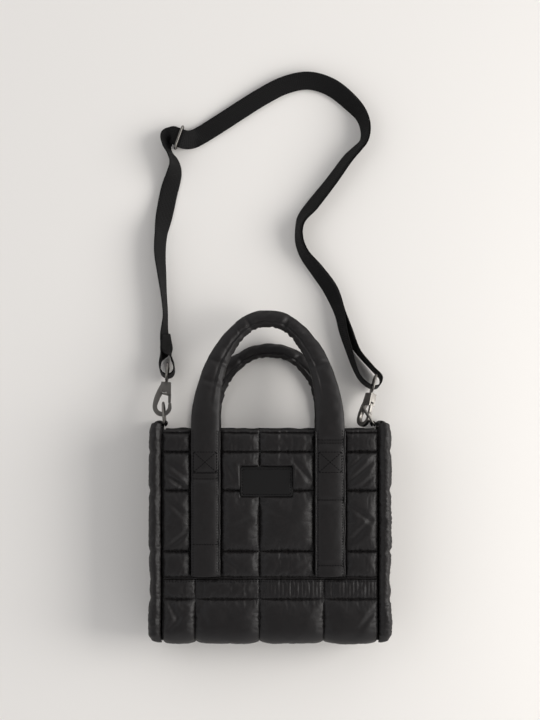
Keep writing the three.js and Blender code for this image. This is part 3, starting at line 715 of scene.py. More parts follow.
class TOTE_OT_front(bpy.types.Operator):
    """Make the quilted front of the bag"""

    bl_idname = "tote.front"
    bl_label = "Front"

    def execute(self, context):
        sizes = context.scene.tote_sizes
        front, pins = quilted_panel(
            "front_cloth", sizes, sizes.front_seam, 1, sizes.front_puff, sizes.cloth_step, PANEL_FOLDS
        )
        face_outwards(front, (0, 0, 1))
        inflate(front, pins, growth=0.012, pressure=0.6, reach=1.6)
        refine(front)
        half = sizes.leg_width / 2

        def covered(x, y):
            legs = [sizes.leg_centre + k * sizes.leg_spacing / 2 for k in (-1, 1)]
            on_patch = PATCH_LOW.x - 2 < x < PATCH_HIGH.x + 2 and PATCH_LOW.y - 2 < y < PATCH_HIGH.y + 2
            return on_patch or min(abs(x - leg) for leg in legs) < half

        pucker(front, PANEL_COLUMNS, PANEL_ROWS, covered, 50.0)
        thicken(front, 3.0, levels=0)
        finish(front, materials(context.scene)["nylon"], stands_for=["front_panel"])
        return {"FINISHED"}


class TOTE_OT_back(bpy.types.Operator):
    """Make the quilted back of the bag, which lies on the floor"""

    bl_idname = "tote.back"
    bl_label = "Back"

    def execute(self, context):
        sizes = context.scene.tote_sizes
        back, pins = quilted_panel("back_cloth", sizes, sizes.back_seam, -1, sizes.back_puff, 2.4)
        face_outwards(back, (0, 0, -1))
        inflate(back, pins, growth=0.01, pressure=0.5, reach=1.2)
        for vertex in back.data.vertices:
            vertex.co.z = max(vertex.co.z, 0.3 * MM)
        thicken(back, 3.0)
        finish(back, materials(context.scene)["nylon"], stands_for=["back_panel"])
        return {"FINISHED"}


# The base band's middle line from the front seam, round the bottom, to the back seam, as y and z
BAND_LINE = [
    (-44.0, 54.0),
    (-66.5, 54.0),
    (-92.0, 54.2),
    (-103.5, 53.0),
    (-110.5, 47.0),
    (-113.6, 39.0),
    (-115.0, 31.0),
    (-113.6, 23.0),
    (-110.5, 15.0),
    (-103.5, 9.2),
    (-92.0, 8.0),
    (-66.5, 8.2),
    (-44.0, 8.2),
]
BAND_COLUMNS = [-117.2, -81.5, -11.5, 58.5, 117.2]
# Pulled folds of the band: across, and how far down from the front seam
BAND_FOLDS = [
    {"start": (-114.0, -58.0), "end": (-98.0, -92.0), "depth": 1.6, "width": 5.0},
    {"start": (-112.0, -102.0), "end": (-92.0, -78.0), "depth": 1.2, "width": 5.0},
    {"start": (-80.0, -74.0), "end": (-66.0, -98.0), "depth": 0.8, "width": 6.0},
    {"start": (62.0, -70.0), "end": (78.0, -94.0), "depth": 0.7, "width": 7.0},
    {"start": (96.0, -98.0), "end": (115.0, -76.0), "depth": 1.2, "width": 5.0},
    {"start": (88.0, -62.0), "end": (104.0, -48.0), "depth": 0.8, "width": 3.5},
]


def along_line(points, step):
    """Points about a step apart along a smooth line, each with how far along it lies."""
    line = [Vector(p) for p in points]
    dense = []
    for k in range(len(line) - 1):
        before = line[max(0, k - 1)]
        after = line[min(len(line) - 1, k + 2)]
        for i in range(16):
            t = i / 16
            dense.append(catmull(before, line[k], line[k + 1], after, t))
    dense.append(line[-1])
    travelled = [0.0]
    for a, b in zip(dense, dense[1:]):
        travelled.append(travelled[-1] + (b - a).length)
    count = max(2, round(travelled[-1] / step) + 1)
    places, k = [], 0
    for i in range(count):
        wanted = travelled[-1] * i / (count - 1)
        while k < len(dense) - 2 and travelled[k + 1] < wanted:
            k += 1
        share = (wanted - travelled[k]) / max(1e-9, travelled[k + 1] - travelled[k])
        places.append((dense[k].lerp(dense[k + 1], share), wanted))
    return places


def place_at(line, wanted):
    """A point of a line of places and distances, a distance along it."""
    for (a, near_by), (b, beyond) in zip(line, line[1:]):
        if wanted <= beyond:
            return a.lerp(b, max(0.0, (wanted - near_by) / max(1e-9, beyond - near_by)))
    return line[-1][0]


def catmull(a, b, c, d, t):
    """A point of a smooth curve between b and c."""
    return 0.5 * (
        2 * b + (c - a) * t + (2 * a - 5 * b + 4 * c - d) * t * t + (3 * b - a - 3 * c + d) * t * t * t
    )


class TOTE_OT_base(bpy.types.Operator):
    """Make the padded band round the bottom of the bag"""

    bl_idname = "tote.base"
    bl_label = "Base band"

    def execute(self, context):
        sizes = context.scene.tote_sizes
        step = sizes.cloth_step
        line = along_line([(y, z, 0.0) for y, z in BAND_LINE], step)
        total = line[-1][1]
        seam_at = [0.0, 22.5, total / 2 - 7.0, total / 2 + 7.0, total - 22.5, total]
        distances = fine_stations(0.0, total, step, seam_at[1:-1])
        line = [(place_at(line, distance), distance) for distance in distances]
        columns = fine_stations(-117.2, 117.2, step, BAND_COLUMNS[1:-1])
        points, pins = [], []
        for i, (place, distance) in enumerate(line):
            before = line[max(0, i - 1)][0]
            after = line[min(len(line) - 1, i + 1)][0]
            along = (after - before).normalized()
            outwards = Vector((-along.y, along.x))
            if outwards.x * (place.x + 60) + outwards.y * (place.y - 31) < 0:
                outwards = -outwards
            high_d, tall = cushion(distance, seam_at)
            off_d = near(distance, seam_at)
            strip = 1.0 if distance < 22.5 else 0.0
            for x in columns:
                high_x, wide = cushion(x, BAND_COLUMNS, 0.5)
                off_x = near(x, BAND_COLUMNS)
                loose = min(1.0, min(off_x, off_d) / 5.0)
                rise = sizes.base_puff * min(1.0, min(wide, tall) / 30.0) ** 0.8 * high_x * high_d
                rise += 3.0 * gathers(x, off_d, 21.0) * min(1.0, off_x / 4.0) * min(1.0, off_d / 1.5)
                rise += 1.4 * gathers(distance, off_x, 29.0, pitch=5.0) * min(1.0, off_d / 4.0)
                pleats = math.sin(x * 1.55 + 2.2 * noise(Vector((x / 14.0, 0.0, 5.0))))
                rise += strip * smoothstep(-14.0, 4.0, x) * 0.55 * pleats * high_d
                rise += crease(x, -44.0 - distance, BAND_FOLDS) * loose
                rise += crumple((x, distance, 90.0), 0.8, 19.0).z * loose
                rise = min(sizes.base_puff, max(0.0, rise)) + 0.6
                points.append((x, place.x + outwards.x * rise, max(0.4, place.y + outwards.y * rise)))
                pins.append(1.0 if min(off_x, off_d) < 0.4 else 0.0)
        band = mesh_object("base_cloth", points, grid_faces(len(line), len(columns)))
        turn_out(band, Vector((0, -60, 31)) * MM)
        inflate(band, pins, growth=0.012, pressure=0.6, reach=1.6)
        refine(band)
        pucker(band, BAND_COLUMNS, [-44.0, -66.5], lambda x, y: y < -96.0, 52.0)
        for vertex in band.data.vertices:
            vertex.co.z = max(vertex.co.z, 0.3 * MM)
        thicken(band, 3.0, levels=0)
        finish(band, materials(context.scene)["nylon"], stands_for=["base_panel"])
        return {"FINISHED"}


def turn_out(obj, middle):
    """Turns a wrapped sheet so that its faces look away from a point."""
    score = 0.0
    for polygon in obj.data.polygons:
        away = polygon.center - middle
        away.x = 0.0
        score += polygon.normal.dot(away)
    if score < 0:
        obj.data.flip_normals()


# A side's section from the front seam round its two rolls to the back seam: how far out, and height
GUSSET_LINE = [
    (0.6, 55.2),
    (2.4, 58.8),
    (6.5, 61.2),
    (11.0, 60.4),
    (14.0, 56.5),
    (14.8, 51.0),
    (13.2, 44.5),
    (8.6, 38.4),
    (3.4, 33.6),
    (2.4, 31.0),
    (3.4, 28.4),
    (8.6, 23.6),
    (13.2, 17.5),
    (14.8, 11.0),
    (14.0, 5.5),
    (11.0, 1.6),
    (6.5, 0.8),
    (2.4, 3.2),
    (0.6, 6.8),
]
# Stations up a side: how deep its section is about the bag's middle, how far it swells, and how far
# its corners rise
GUSSET_ROWS = [
    {"y": -116.1, "depth": 0.52, "swell": 0.32, "rise": 0.0},
    {"y": -113.3, "depth": 0.74, "swell": 0.74, "rise": 0.0},
    {"y": -106.2, "depth": 0.91, "swell": 1.0, "rise": 0.0},
    {"y": -94.4, "depth": 1.0, "swell": 1.02, "rise": 0.0},
    {"y": -61.4, "depth": 1.0, "swell": 0.93, "rise": 0.0},
    {"y": -44.8, "depth": 0.99, "swell": 0.87, "rise": 0.0},
    {"y": -28.3, "depth": 1.0, "swell": 0.95, "rise": 0.0},
    {"y": -7.1, "depth": 1.0, "swell": 1.0, "rise": 0.0},
    {"y": 35.4, "depth": 1.0, "swell": 0.98, "rise": 0.0},
    {"y": 80.2, "depth": 1.0, "swell": 1.0, "rise": 0.0},
    {"y": 99.1, "depth": 1.0, "swell": 0.99, "rise": 1.5},
    {"y": 112.1, "depth": 0.98, "swell": 0.96, "rise": 4.0},
    {"y": 119.8, "depth": 0.92, "swell": 0.82, "rise": 6.0},
]
GUSSET_SEAMS = [-66.0, -15.0, 51.0, 93.0]


class TOTE_OT_sides(bpy.types.Operator):
    """Make the two padded sides, each folded in along its middle"""

    bl_idname = "tote.sides"
    bl_label = "Sides"

    def execute(self, context):
        sizes = context.scene.tote_sizes
        for name, side in (("left", -1), ("right", 1)):
            line = along_line([(out, z, 0.0) for out, z in GUSSET_LINE], sizes.cloth_step)
            rows = with_seams(stations(-116.1, 119.8, sizes.cloth_step), GUSSET_SEAMS)
            total = line[-1][1]
            points, pins = [], []
            for y in rows:
                depth = table(GUSSET_ROWS, "y", "depth", y)
                swell = table(GUSSET_ROWS, "y", "swell", y)
                rise = table(GUSSET_ROWS, "y", "rise", y)
                pull = math.exp(-((near(y, GUSSET_SEAMS) / 4.0) ** 2))
                for place, distance in line:
                    about = (place.y - 31) / 31
                    corner = max(0.0, (abs(about) - 0.32) / 0.68)
                    shift = crumple((side * 60 + place.x, y, place.y), 0.8, 12.0)
                    wrinkle = smoothstep(-26.0, -10.0, y) * smoothstep(48.0, 30.0, y) if side > 0 else 0.0
                    shift.x += (0.25 + 0.7 * wrinkle) * noise(Vector((place.y / 16.0, y / 2.6, 3.0 * side)))
                    shift.z += 0.6 * wrinkle * noise(Vector((place.x / 12.0, y / 2.4, 8.0)))
                    edge = min(distance, total - distance)
                    loose = min(1.0, edge / 6.0)
                    out = place.x * swell * (1 - 0.10 * pull * loose) + shift.x * loose
                    z = 31 + 31 * about * depth * (1 - 0.03 * pull) + shift.z * loose
                    points.append((side * (117.5 + max(0.1, out)), y + rise * corner, max(0.4, z)))
                    held = edge < 1.0 or abs(place.y - 31) < 2.0 or y < -114 or y > 118.5
                    pins.append(1.0 if held else 0.35)
            cloth = mesh_object(f"side_cloth_{name}", points, grid_faces(len(rows), len(line)))
            face_outwards(cloth, (side, 0, 0))
            inflate(cloth, pins, growth=0.03, pressure=1.0, frames=10, reach=1.2)
            for vertex in cloth.data.vertices:
                vertex.co.z = max(vertex.co.z, 0.3 * MM)
            thicken(cloth, 3.0)
            nylon = materials(context.scene)["nylon"]
            finish(cloth, nylon, stands_for=[f"gusset_{name}"])
        return {"FINISHED"}


# Padded handles

# Half of a handle from its leg's foot to its crown. side is a share of half the leg spacing, reach a
# share of the way from the mouth to the crown, droop of the crown's droop, and grip blends from the
# flat leg to the folded grip.
HANDLE_LINE = [
    {"side": 1.0, "reach": 0.05, "droop": 0.0, "grip": 0.0},
    {"side": 0.985, "reach": 0.2, "droop": 0.08, "grip": 0.1},
    {"side": 0.925, "reach": 0.4, "droop": 0.3, "grip": 0.35},
    {"side": 0.8, "reach": 0.62, "droop": 0.6, "grip": 0.65},
    {"side": 0.62, "reach": 0.79, "droop": 0.82, "grip": 0.85},
    {"side": 0.44, "reach": 0.905, "droop": 0.93, "grip": 1.0},
    {"side": 0.26, "reach": 0.975, "droop": 0.98, "grip": 1.0},
    {"side": 0.09, "reach": 1.0, "droop": 1.0, "grip": 1.0},
]
MOUTH = 118.0
LEG_FOOT = -42.0


def handle_path(sizes, leg_z, crown_z, reach, lean, step):
    """Points along a handle from its left foot to its right one, as place, grip and distance."""
    spacing = sizes.leg_spacing / 2
    rows = []
    for end in (-1, 1):
        half = [
            (Vector((sizes.leg_centre + end * spacing, LEG_FOOT + (MOUTH - LEG_FOOT) * k / 4, leg_z)), 0.0)
            for k in range(4)
        ]
        for row in HANDLE_LINE:
            x = sizes.leg_centre + end * spacing * row["side"] + lean * row["grip"]
            y = MOUTH + reach * row["reach"]
            z = leg_z + (crown_z - leg_z) * row["droop"]
            half.append((Vector((x, y, z)), row["grip"]))
        rows += half if end < 0 else half[::-1]
    dense = []
    for k in range(len(rows) - 1):
        near_points = [rows[min(len(rows) - 1, max(0, k + i))] for i in (-1, 0, 1, 2)]
        for i in range(12):
            place = catmull(*[p[0] for p in near_points], i / 12)
            dense.append((place, rows[k][1] + (rows[k + 1][1] - rows[k][1]) * i / 12))
    dense.append(rows[-1])
    path, travelled = [(dense[0][0], dense[0][1], 0.0)], 0.0
    last = 0.0
    for (a, _), (b, grip) in zip(dense, dense[1:]):
        travelled += (b - a).length
        if travelled - last >= step:
            path.append((b, grip, travelled))
            last = travelled
    path.append((dense[-1][0], dense[-1][1], travelled))
    return path


def frames_along(places):
    """For each point of a line near the floor plan: its direction, sideways and upward axes."""
    axes = []
    for k in range(len(places)):
        along = (places[min(len(places) - 1, k + 1)] - places[max(0, k - 1)]).normalized()
        aside = along.cross(Vector((0, 0, 1))).normalized()
        axes.append((along, aside, aside.cross(along)))
    return axes


# Cross stitching on a leg, as heights up the bag, and its boxed cross
FRONT_TACKS = {-1: [64.3, 70.4, -6.8], 1: [106.4, 103.0, 41.5, -29.5]}
# Cross stitching along the arch, as shares of the handle's whole line
ARCH_TACKS = (0.338, 0.375, 0.465, 0.535, 0.632)
BOX_CROSS = {"low": 71.5, "high": 93.5, "half_width": 12.5}


def handle_cloth(name, sizes, path, grip_width, tacks, arch_tacks, puffy):
    """A padded tube: a flat leg at each end, folded round along its grip, and pulled in at its tacks."""
    places = [p for p, _, _ in path]
    axes = frames_along(places)
    sides = 40
    total = path[-1][2]
    points = []
    for (place, grip, distance), (_, aside, upward) in zip(path, axes):
        left = -1 if distance < total / 2 else 1
        pull = 0.0
        for y in tacks[left]:
            pull = max(pull, math.exp(-(((place.y - y) / 1.9) ** 2)) if grip < 0.3 else 0.0)
        for share in arch_tacks:
            pull = max(pull, 0.7 * math.exp(-(((distance / total - share) * total / 2.6) ** 2)))
        seam = smoothstep(0.02, 0.5, grip)
        width = sizes.leg_width + (grip_width - sizes.leg_width) * grip
        thick = puffy + (grip_width * 0.84 - puffy) * grip
        # Where the folded edge shows: towards the inside of the arch
        ridge_at = 0.42
        for j in range(sides):
            angle = 2 * math.pi * j / sides
            c, s = math.cos(angle), math.sin(angle)
            power = 0.86 + 0.1 * grip
            across = math.copysign(abs(c) ** power, c) * width / 2
            over = math.copysign(abs(s) ** (power + 0.08), s) * thick / 2
            share_in = across / (width / 2)
            if over > 0:
                valley = math.exp(-(((share_in - ridge_at + 0.12) / 0.07) ** 2))
                ridge = math.exp(-(((share_in - ridge_at - 0.06) / 0.10) ** 2))
                over += seam * (1.5 * ridge - 2.4 * valley)
            over *= 1 - (0.62 if over > 0 else 0.1) * pull * (1 - 0.35 * abs(c))
            across *= 1 - 0.03 * pull
            gather = max(0.0, share_in - 0.25) / 0.75
            ripple = noise(Vector((distance / 4.6, 3.0 * left, 1.0)))
            ripple += 0.5 * noise(Vector((distance / 2.3, 9.0, 4.0)))
            across -= gather * seam * (0.2 + 1.7 * max(-0.4, ripple))
            over += gather * seam * 0.9 * ripple * (1 if over > 0 else 0.2)
            loose = crumple((place.x + across, place.y, place.z + over * 2), 0.35 + 0.8 * grip, 8.0)
            pleat = 1.0 * (0.35 - abs(noise(Vector((distance / 5.0 + across / 14.0, across / 30.0, 2.0)))))
            if over > 0:
                over += pleat * (0.35 + grip) * (1 - abs(c))
            point = place + aside * across + upward * over + loose * (0.3 if over < 0 else 0.9)
            points.append(tuple(point))
    faces = grid_faces(len(path), sides, wrap=True)
    for end, ring in ((0, 0), (1, len(path) - 1)):
        points.append(tuple(places[ring]))
        centre = len(points) - 1
        for j in range(sides):
            a, b = ring * sides + j, ring * sides + (j + 1) % sides
            faces.append((centre, b, a) if end == 0 else (centre, a, b))
    return mesh_object(name, points, faces)


class TOTE_OT_handles(bpy.types.Operator):
    """Make the two padded handles"""

    bl_idname = "tote.handles"
    bl_label = "Handles"

    def execute(self, context):
        sizes = context.scene.tote_sizes
        nylon = materials(context.scene)["nylon"]
        front_z = sizes.front_seam + 0.5 + 3.7
        front = handle_path(sizes, front_z, 34.2, 120.0, 0.0, 1.2)
        cloth = handle_cloth("handle_cloth_front", sizes, front, 19.0, FRONT_TACKS, ARCH_TACKS, 8.4)
        smooth_mesh(cloth)
        finish(cloth, nylon, stands_for=["handle_front"])
        back = handle_path(sizes, 3.9, 7.4, 85.0, 2.0, 1.6)
        plain_tacks = {-1: [60.0], 1: [60.0]}
        cloth = handle_cloth("handle_cloth_back", sizes, back, 15.8, plain_tacks, (0.44, 0.56), 7.0)
        for vertex in cloth.data.vertices:
            vertex.co.z = max(vertex.co.z, 0.2 * MM)
        smooth_mesh(cloth)
        finish(cloth, nylon, stands_for=["handle_back"])
        return {"FINISHED"}


def smooth_mesh(obj, levels=1):
    smooth = obj.modifiers.new("smooth", "SUBSURF")
    smooth.levels = levels
    smooth.render_levels = levels


# Webbing

# The strap's line as it lies. across is a share of the way from the left clasp to the right one, up a
# share of the reach above the left clasp, and turn is degrees from lying flat to standing on edge.
LEFT_STRAND = [
    {"across": -0.005, "up": 0.111, "turn": 54},
    {"across": -0.012, "up": 0.16, "turn": 68},
    {"across": -0.007, "up": 0.227, "turn": 80},
    {"across": -0.015, "up": 0.295, "turn": 76},
    {"across": -0.025, "up": 0.362, "turn": 65},
    {"across": -0.034, "up": 0.428, "turn": 55},
    {"across": -0.029, "up": 0.491, "turn": 50},
    {"across": -0.011, "up": 0.564, "turn": 22},
    {"across": 0.01, "up": 0.634, "turn": 15},
    {"across": 0.036, "up": 0.697, "turn": 40},
    {"across": 0.034, "up": 0.733, "turn": 64},
    {"across": 0.014, "up": 0.76, "turn": 76},
    {"across": -0.001, "up": 0.785, "turn": 66},
    {"across": 0.0, "up": 0.806, "turn": 40},
]
DOUBLED = [
    {"across": 0.163, "up": 0.819, "turn": 0},
    {"across": 0.262, "up": 0.86, "turn": 3},
    {"across": 0.361, "up": 0.903, "turn": 5},
    {"across": 0.469, "up": 0.948, "turn": 8},
    {"across": 0.583, "up": 0.986, "turn": 12},
    {"across": 0.697, "up": 1.0, "turn": 15},
    {"across": 0.805, "up": 0.978, "turn": 22},
    {"across": 0.894, "up": 0.931, "turn": 35},
    {"across": 0.953, "up": 0.885, "turn": 55},
    {"across": 0.975, "up": 0.842, "turn": 65},
    {"across": 0.968, "up": 0.799, "turn": 72},
    {"across": 0.936, "up": 0.773, "turn": 68},
    {"across": 0.894, "up": 0.744, "turn": 62},
    {"across": 0.81, "up": 0.667, "turn": 57},
    {"across": 0.716, "up": 0.587, "turn": 52},
    {"across": 0.662, "up": 0.541, "turn": 65},
    {"across": 0.649, "up": 0.505, "turn": 74},
    {"across": 0.652, "up": 0.465, "turn": 70},
    {"across": 0.675, "up": 0.425, "turn": 64},
    {"across": 0.739, "up": 0.369, "turn": 50},
    {"across": 0.805, "up": 0.306, "turn": 45},
    {"across": 0.852, "up": 0.227, "turn": 60},
]
NEAR_STRAND = [
    {"across": 0.866, "up": 0.17, "turn": 66},
    {"across": 0.896, "up": 0.104, "turn": 72},
    {"across": 0.918, "up": 0.058, "turn": 78},
]
FAR_STRAND = [
    {"across": 0.893, "up": 0.17, "turn": 66},
    {"across": 0.919, "up": 0.125, "turn": 70},
    {"across": 0.943, "up": 0.098, "turn": 76},
]
# Turns through the eyes, in each clasp's own frame, and passes through the slider, in millimetres
LEFT_TURN = [(2.8, 28.4), (6.2, 21.2), (7.2, 14), (5, 9.4), (0, 7.6), (-5, 9.4), (-8.4, 15), (-9, 25)]
RIGHT_TURN = [(-16.8, 14.6), (-8, 9.2), (0, 7.6), (5.2, 9.6), (7.4, 14.4), (6.4, 20.6), (-4, 27.6)]
UPPER_PASS = [
    (-9.2, 0, 9.52),
    (-4, 0, 12.67),
    (0, 0, 13.18),
    (4, 0, 12.92),
    (9, 1, 9.69),
    (15, 4.8, 5.61),
]
LOWER_PASS = [
    (15, 4.8, 1.45),
    (9, 1, 3.4),
    (4, 0, 5.53),
    (0, 0, 6.12),
    (-1.7, 0, 6.83),
    (-2.4, 0, 8.5),
    (-1.7, 0, 10.17),
    (0, 0, 10.88),
    (4, 0, 10.2),
    (7.6, 0.4, 7.82),
]
STRAP_REACH = 338.5
LAYER_GAP = 0.6
FLOOR_GAP = 0.6
EYE_FAR = 20.0
EYE_HALF = 12.0
WIRE = 2.6
CLASPS = {
    "left": {"x": -115.4, "y": 167.8, "heading": -5, "slope": 15.5, "roll": 0},
    "right": {"x": 112.4, "y": 155.6, "heading": -15, "slope": 13, "roll": -58},
}
SLIDER = {"across": 0.06, "up": 0.809, "lean": 20, "length": 27.0, "height": 17.0}


def clasp_frame(name):
    """A clasp's place: its own frame has the hook along -y and the eye along +y."""
    clasp = CLASPS[name]
    slope = math.radians(clasp["slope"])
    lowest = EYE_FAR * math.sin(slope) + (EYE_HALF + WIRE / 2) * math.cos(slope)
    turn = Matrix.Rotation(math.radians(clasp["heading"]), 4, "Z") @ Matrix.Rotation(-slope, 4, "X")
    return Matrix.Translation((clasp["x"], clasp["y"], 0.4 + lowest)) @ turn


def slider_frame():
    x, y, _ = plan_point(SLIDER)
    height = SLIDER["height"] / 2 + FLOOR_GAP
    return Matrix.Translation((x, y, height)) @ Matrix.Rotation(math.radians(90 - SLIDER["lean"]), 4, "Z")


def plan_point(row):
    left, right = CLASPS["left"], CLASPS["right"]
    x = left["x"] + (right["x"] - left["x"]) * row["across"]
    return Vector((x, left["y"] + STRAP_REACH * row["up"], 0))


def lay_down(sizes, rows, layer, before, after):
    """Sections of a strand on the floor: alone (0), or the upper (1) or lower (-1) one of a pair."""
    plan = [plan_point(row) for row in [before, *rows, after]]
    sections = []
    for k, row in enumerate(rows):
        along = (plan[k + 2] - plan[k]).normalized()
        aside = Vector((-along.y, along.x, 0))
        angle = math.radians(row["turn"])
        width = aside * math.cos(angle) + Vector((0, 0, math.sin(angle)))
        rest = sizes.webbing_thickness * (0.5 if layer == 0 else 1) + (0 if layer == 0 else LAYER_GAP / 2)
        point = plan[k + 1].copy()
        point.z = sizes.webbing_width / 2 * math.sin(angle) + rest * math.cos(angle) + FLOOR_GAP
        point += along.cross(width) * layer * (sizes.webbing_thickness + LAYER_GAP) / 2
        sections.append((point, width))
    return sections


def through_eye(turn, place):
    width = (place.to_3x3() @ Vector((0, 0, 1))).normalized()
    return [(place @ Vector((x, y, 0)), width) for x, y in turn]


def through_slider(passes, place):
    width = place.to_3x3() @ Vector((1, 0, 0))
    forward = -(place.to_3x3() @ Vector((0, 1, 0)))
    middle = place.translation
    sections = []
    for along, aside, height in passes:
        point = middle + forward * along + width * aside
        point.z = height + FLOOR_GAP
        sections.append((point, width))
    return sections


def sewn_on(sizes, sections):
    """A strap end laid flat against the strand beside it."""
    laid = []
    for k, (point, width) in enumerate(sections):
        other = sections[1 if k == 0 else k - 1][0]
        along = (other - point) * (1 if k == 0 else -1)
        apart = sizes.webbing_thickness + 0.65
        laid.append((point + along.cross(width).normalized() * apart, width))
    return laid


def strap_sections(sizes):
    left, right, slider = clasp_frame("left"), clasp_frame("right"), slider_frame()
    main = lay_down(sizes, LEFT_STRAND, 0, {"across": -0.03, "up": 0.075}, {"across": 0.03, "up": 0.82})
    ahead = {"across": 0.125, "up": 0.803}
    return [
        *sewn_on(sizes, main[:2])[::-1],
        *through_eye(LEFT_TURN, left),
        *main,
        *through_slider(UPPER_PASS, slider),
        *lay_down(sizes, DOUBLED, 1, ahead, NEAR_STRAND[0]),
        *lay_down(sizes, NEAR_STRAND, 0, DOUBLED[-1], {"across": 0.945, "up": 0.018}),
        *through_eye(RIGHT_TURN, right),
        *lay_down(sizes, FAR_STRAND, 0, DOUBLED[-1], {"across": 1, "up": 0.05})[::-1],
        *lay_down(sizes, DOUBLED, -1, ahead, NEAR_STRAND[0])[::-1],
        *through_slider(LOWER_PASS, slider),
    ]


def centripetal(points, steps):
    """Points of a smooth curve that doesn't loop where its points are close, some steps apart."""
    line = [points[0] + (points[0] - points[1]), *points, points[-1] + (points[-1] - points[-2])]
    curve = []
    for k in range(len(points) - 1):
        p = line[k : k + 4]
        t = [0.0]
        for a, b in zip(p, p[1:]):
            t.append(t[-1] + max(1e-4, (b - a).length) ** 0.5)
        for i in range(steps):
            u = t[1] + (t[2] - t[1]) * i / steps
            a1 = p[0].lerp(p[1], (u - t[0]) / (t[1] - t[0]))
            a2 = p[1].lerp(p[2], (u - t[1]) / (t[2] - t[1]))
            a3 = p[2].lerp(p[3], (u - t[2]) / (t[3] - t[2]))
            b1 = a1.lerp(a2, (u - t[0]) / (t[2] - t[0]))
            b2 = a2.lerp(a3, (u - t[1]) / (t[3] - t[1]))
            curve.append(b1.lerp(b2, (u - t[1]) / (t[2] - t[1])))
    curve.append(points[-1].copy())
    return curve


def webbing_loft(name, sections, width, thickness, steps):
    """Flat webbing with rounded edges, through sections of a place and a width direction."""
    middle = centripetal([p for p, _ in sections], steps)
    turning = centripetal([w * 10 for _, w in sections], steps)
    outline = []
    for x in (-1, -0.93, -0.6, -0.2, 0.2, 0.6, 0.93, 1):
        outline.append((x, 0.35 if abs(x) == 1 else 1.0))
    outline += [(x, -y) for x, y in reversed(outline)]
    points, places = [], []
    travelled = 0.0
    for k, place in enumerate(middle):
        along = (middle[min(len(middle) - 1, k + 1)] - middle[max(0, k - 1)]).normalized()
        across = turning[k] - along * turning[k].dot(along)
        across.normalize()
        face = along.cross(across)
        if k:
            travelled += (place - middle[k - 1]).length
        for x, y in outline:
            points.append(tuple(place + across * (x * width / 2) + face * (y * thickness / 2)))
            places.append((travelled, x * width / 2))
    sides = len(outline)
    faces = grid_faces(len(middle), sides, wrap=True)
    faces.append(tuple(range(sides)))
    last = (len(middle) - 1) * sides
    faces.append(tuple(last + j for j in reversed(range(sides))))
    obj = mesh_object(name, points, faces)
    layer = obj.data.uv_layers.new(name="along_and_across_mm")
    for loop in obj.data.loops:
        layer.data[loop.index].uv = places[loop.vertex_index]
    return obj


class TOTE_OT_strap(bpy.types.Operator):
    """Make the webbing of the shoulder strap, in the shape it lies in"""

    bl_idname = "tote.strap"
    bl_label = "Strap"

    def execute(self, context):
        sizes = context.scene.tote_sizes
        strap = webbing_loft(
            "strap_cloth", strap_sections(sizes), sizes.webbing_width, sizes.webbing_thickness, 6
        )
        finish(strap, materials(context.scene)["webbing"], stands_for=["strap_webbing"])
        return {"FINISHED"}


# Sewn details


def tube(name, path, radius, sides=8, closed=False):
    """A round cord through points in millimetres."""
    points, faces = [], []
    count = len(path)
    for k, place in enumerate(path):
        ahead = path[(k + 1) % count] if closed else path[min(count - 1, k + 1)]
        behind = path[k - 1] if closed else path[max(0, k - 1)]
        along = (ahead - behind).normalized()
        aside = along.orthogonal().normalized() if k == 0 else (aside - along * aside.dot(along)).normalized()
        over = along.cross(aside)
        for j in range(sides):
            angle = 2 * math.pi * j / sides
            points.append(tuple(place + (aside * math.cos(angle) + over * math.sin(angle)) * radius))
    faces = grid_faces(count, sides, wrap=True)
    if closed:
        last = (count - 1) * sides
        best = min(range(sides), key=lambda s: (Vector(points[last]) - Vector(points[s])).length)
        for j in range(sides):
            a, b = last + j, last + (j + 1) % sides
            faces.append((a, b, (j + 1 + best) % sides, (j + best) % sides))
    else:
        faces.append(tuple(reversed(range(sides))))
        faces.append(tuple((count - 1) * sides + j for j in range(sides)))
    return mesh_object(name, points, faces)


def surface_under(objects, x, y, high=70.0):
    """The highest point of some finished meshes at a place, in millimetres, or None."""
    graph = bpy.context.evaluated_depsgraph_get()
    best = None
    for obj in objects:
        shape = obj.evaluated_get(graph)
        hit, place, _, _ = shape.ray_cast(Vector((x, y, high)) * MM, Vector((0, 0, -1)))
        if hit and (best is None or place.z / MM > best):
            best = place.z / MM
    return best


def stitch_row(start, end, pitch, share=0.68):
    """Ends of the stitches along a straight row, as pairs of places on the plan."""
    length_mm = (Vector(end) - Vector(start)).length
    count = max(1, round(length_mm / pitch))
    pairs = []
    for k in range(count):
        a = (k + (1 - share) / 2) / count
        b = (k + (1 + share) / 2) / count
        pairs.append((Vector(start).lerp(Vector(end), a), Vector(start).lerp(Vector(end), b)))
    return pairs


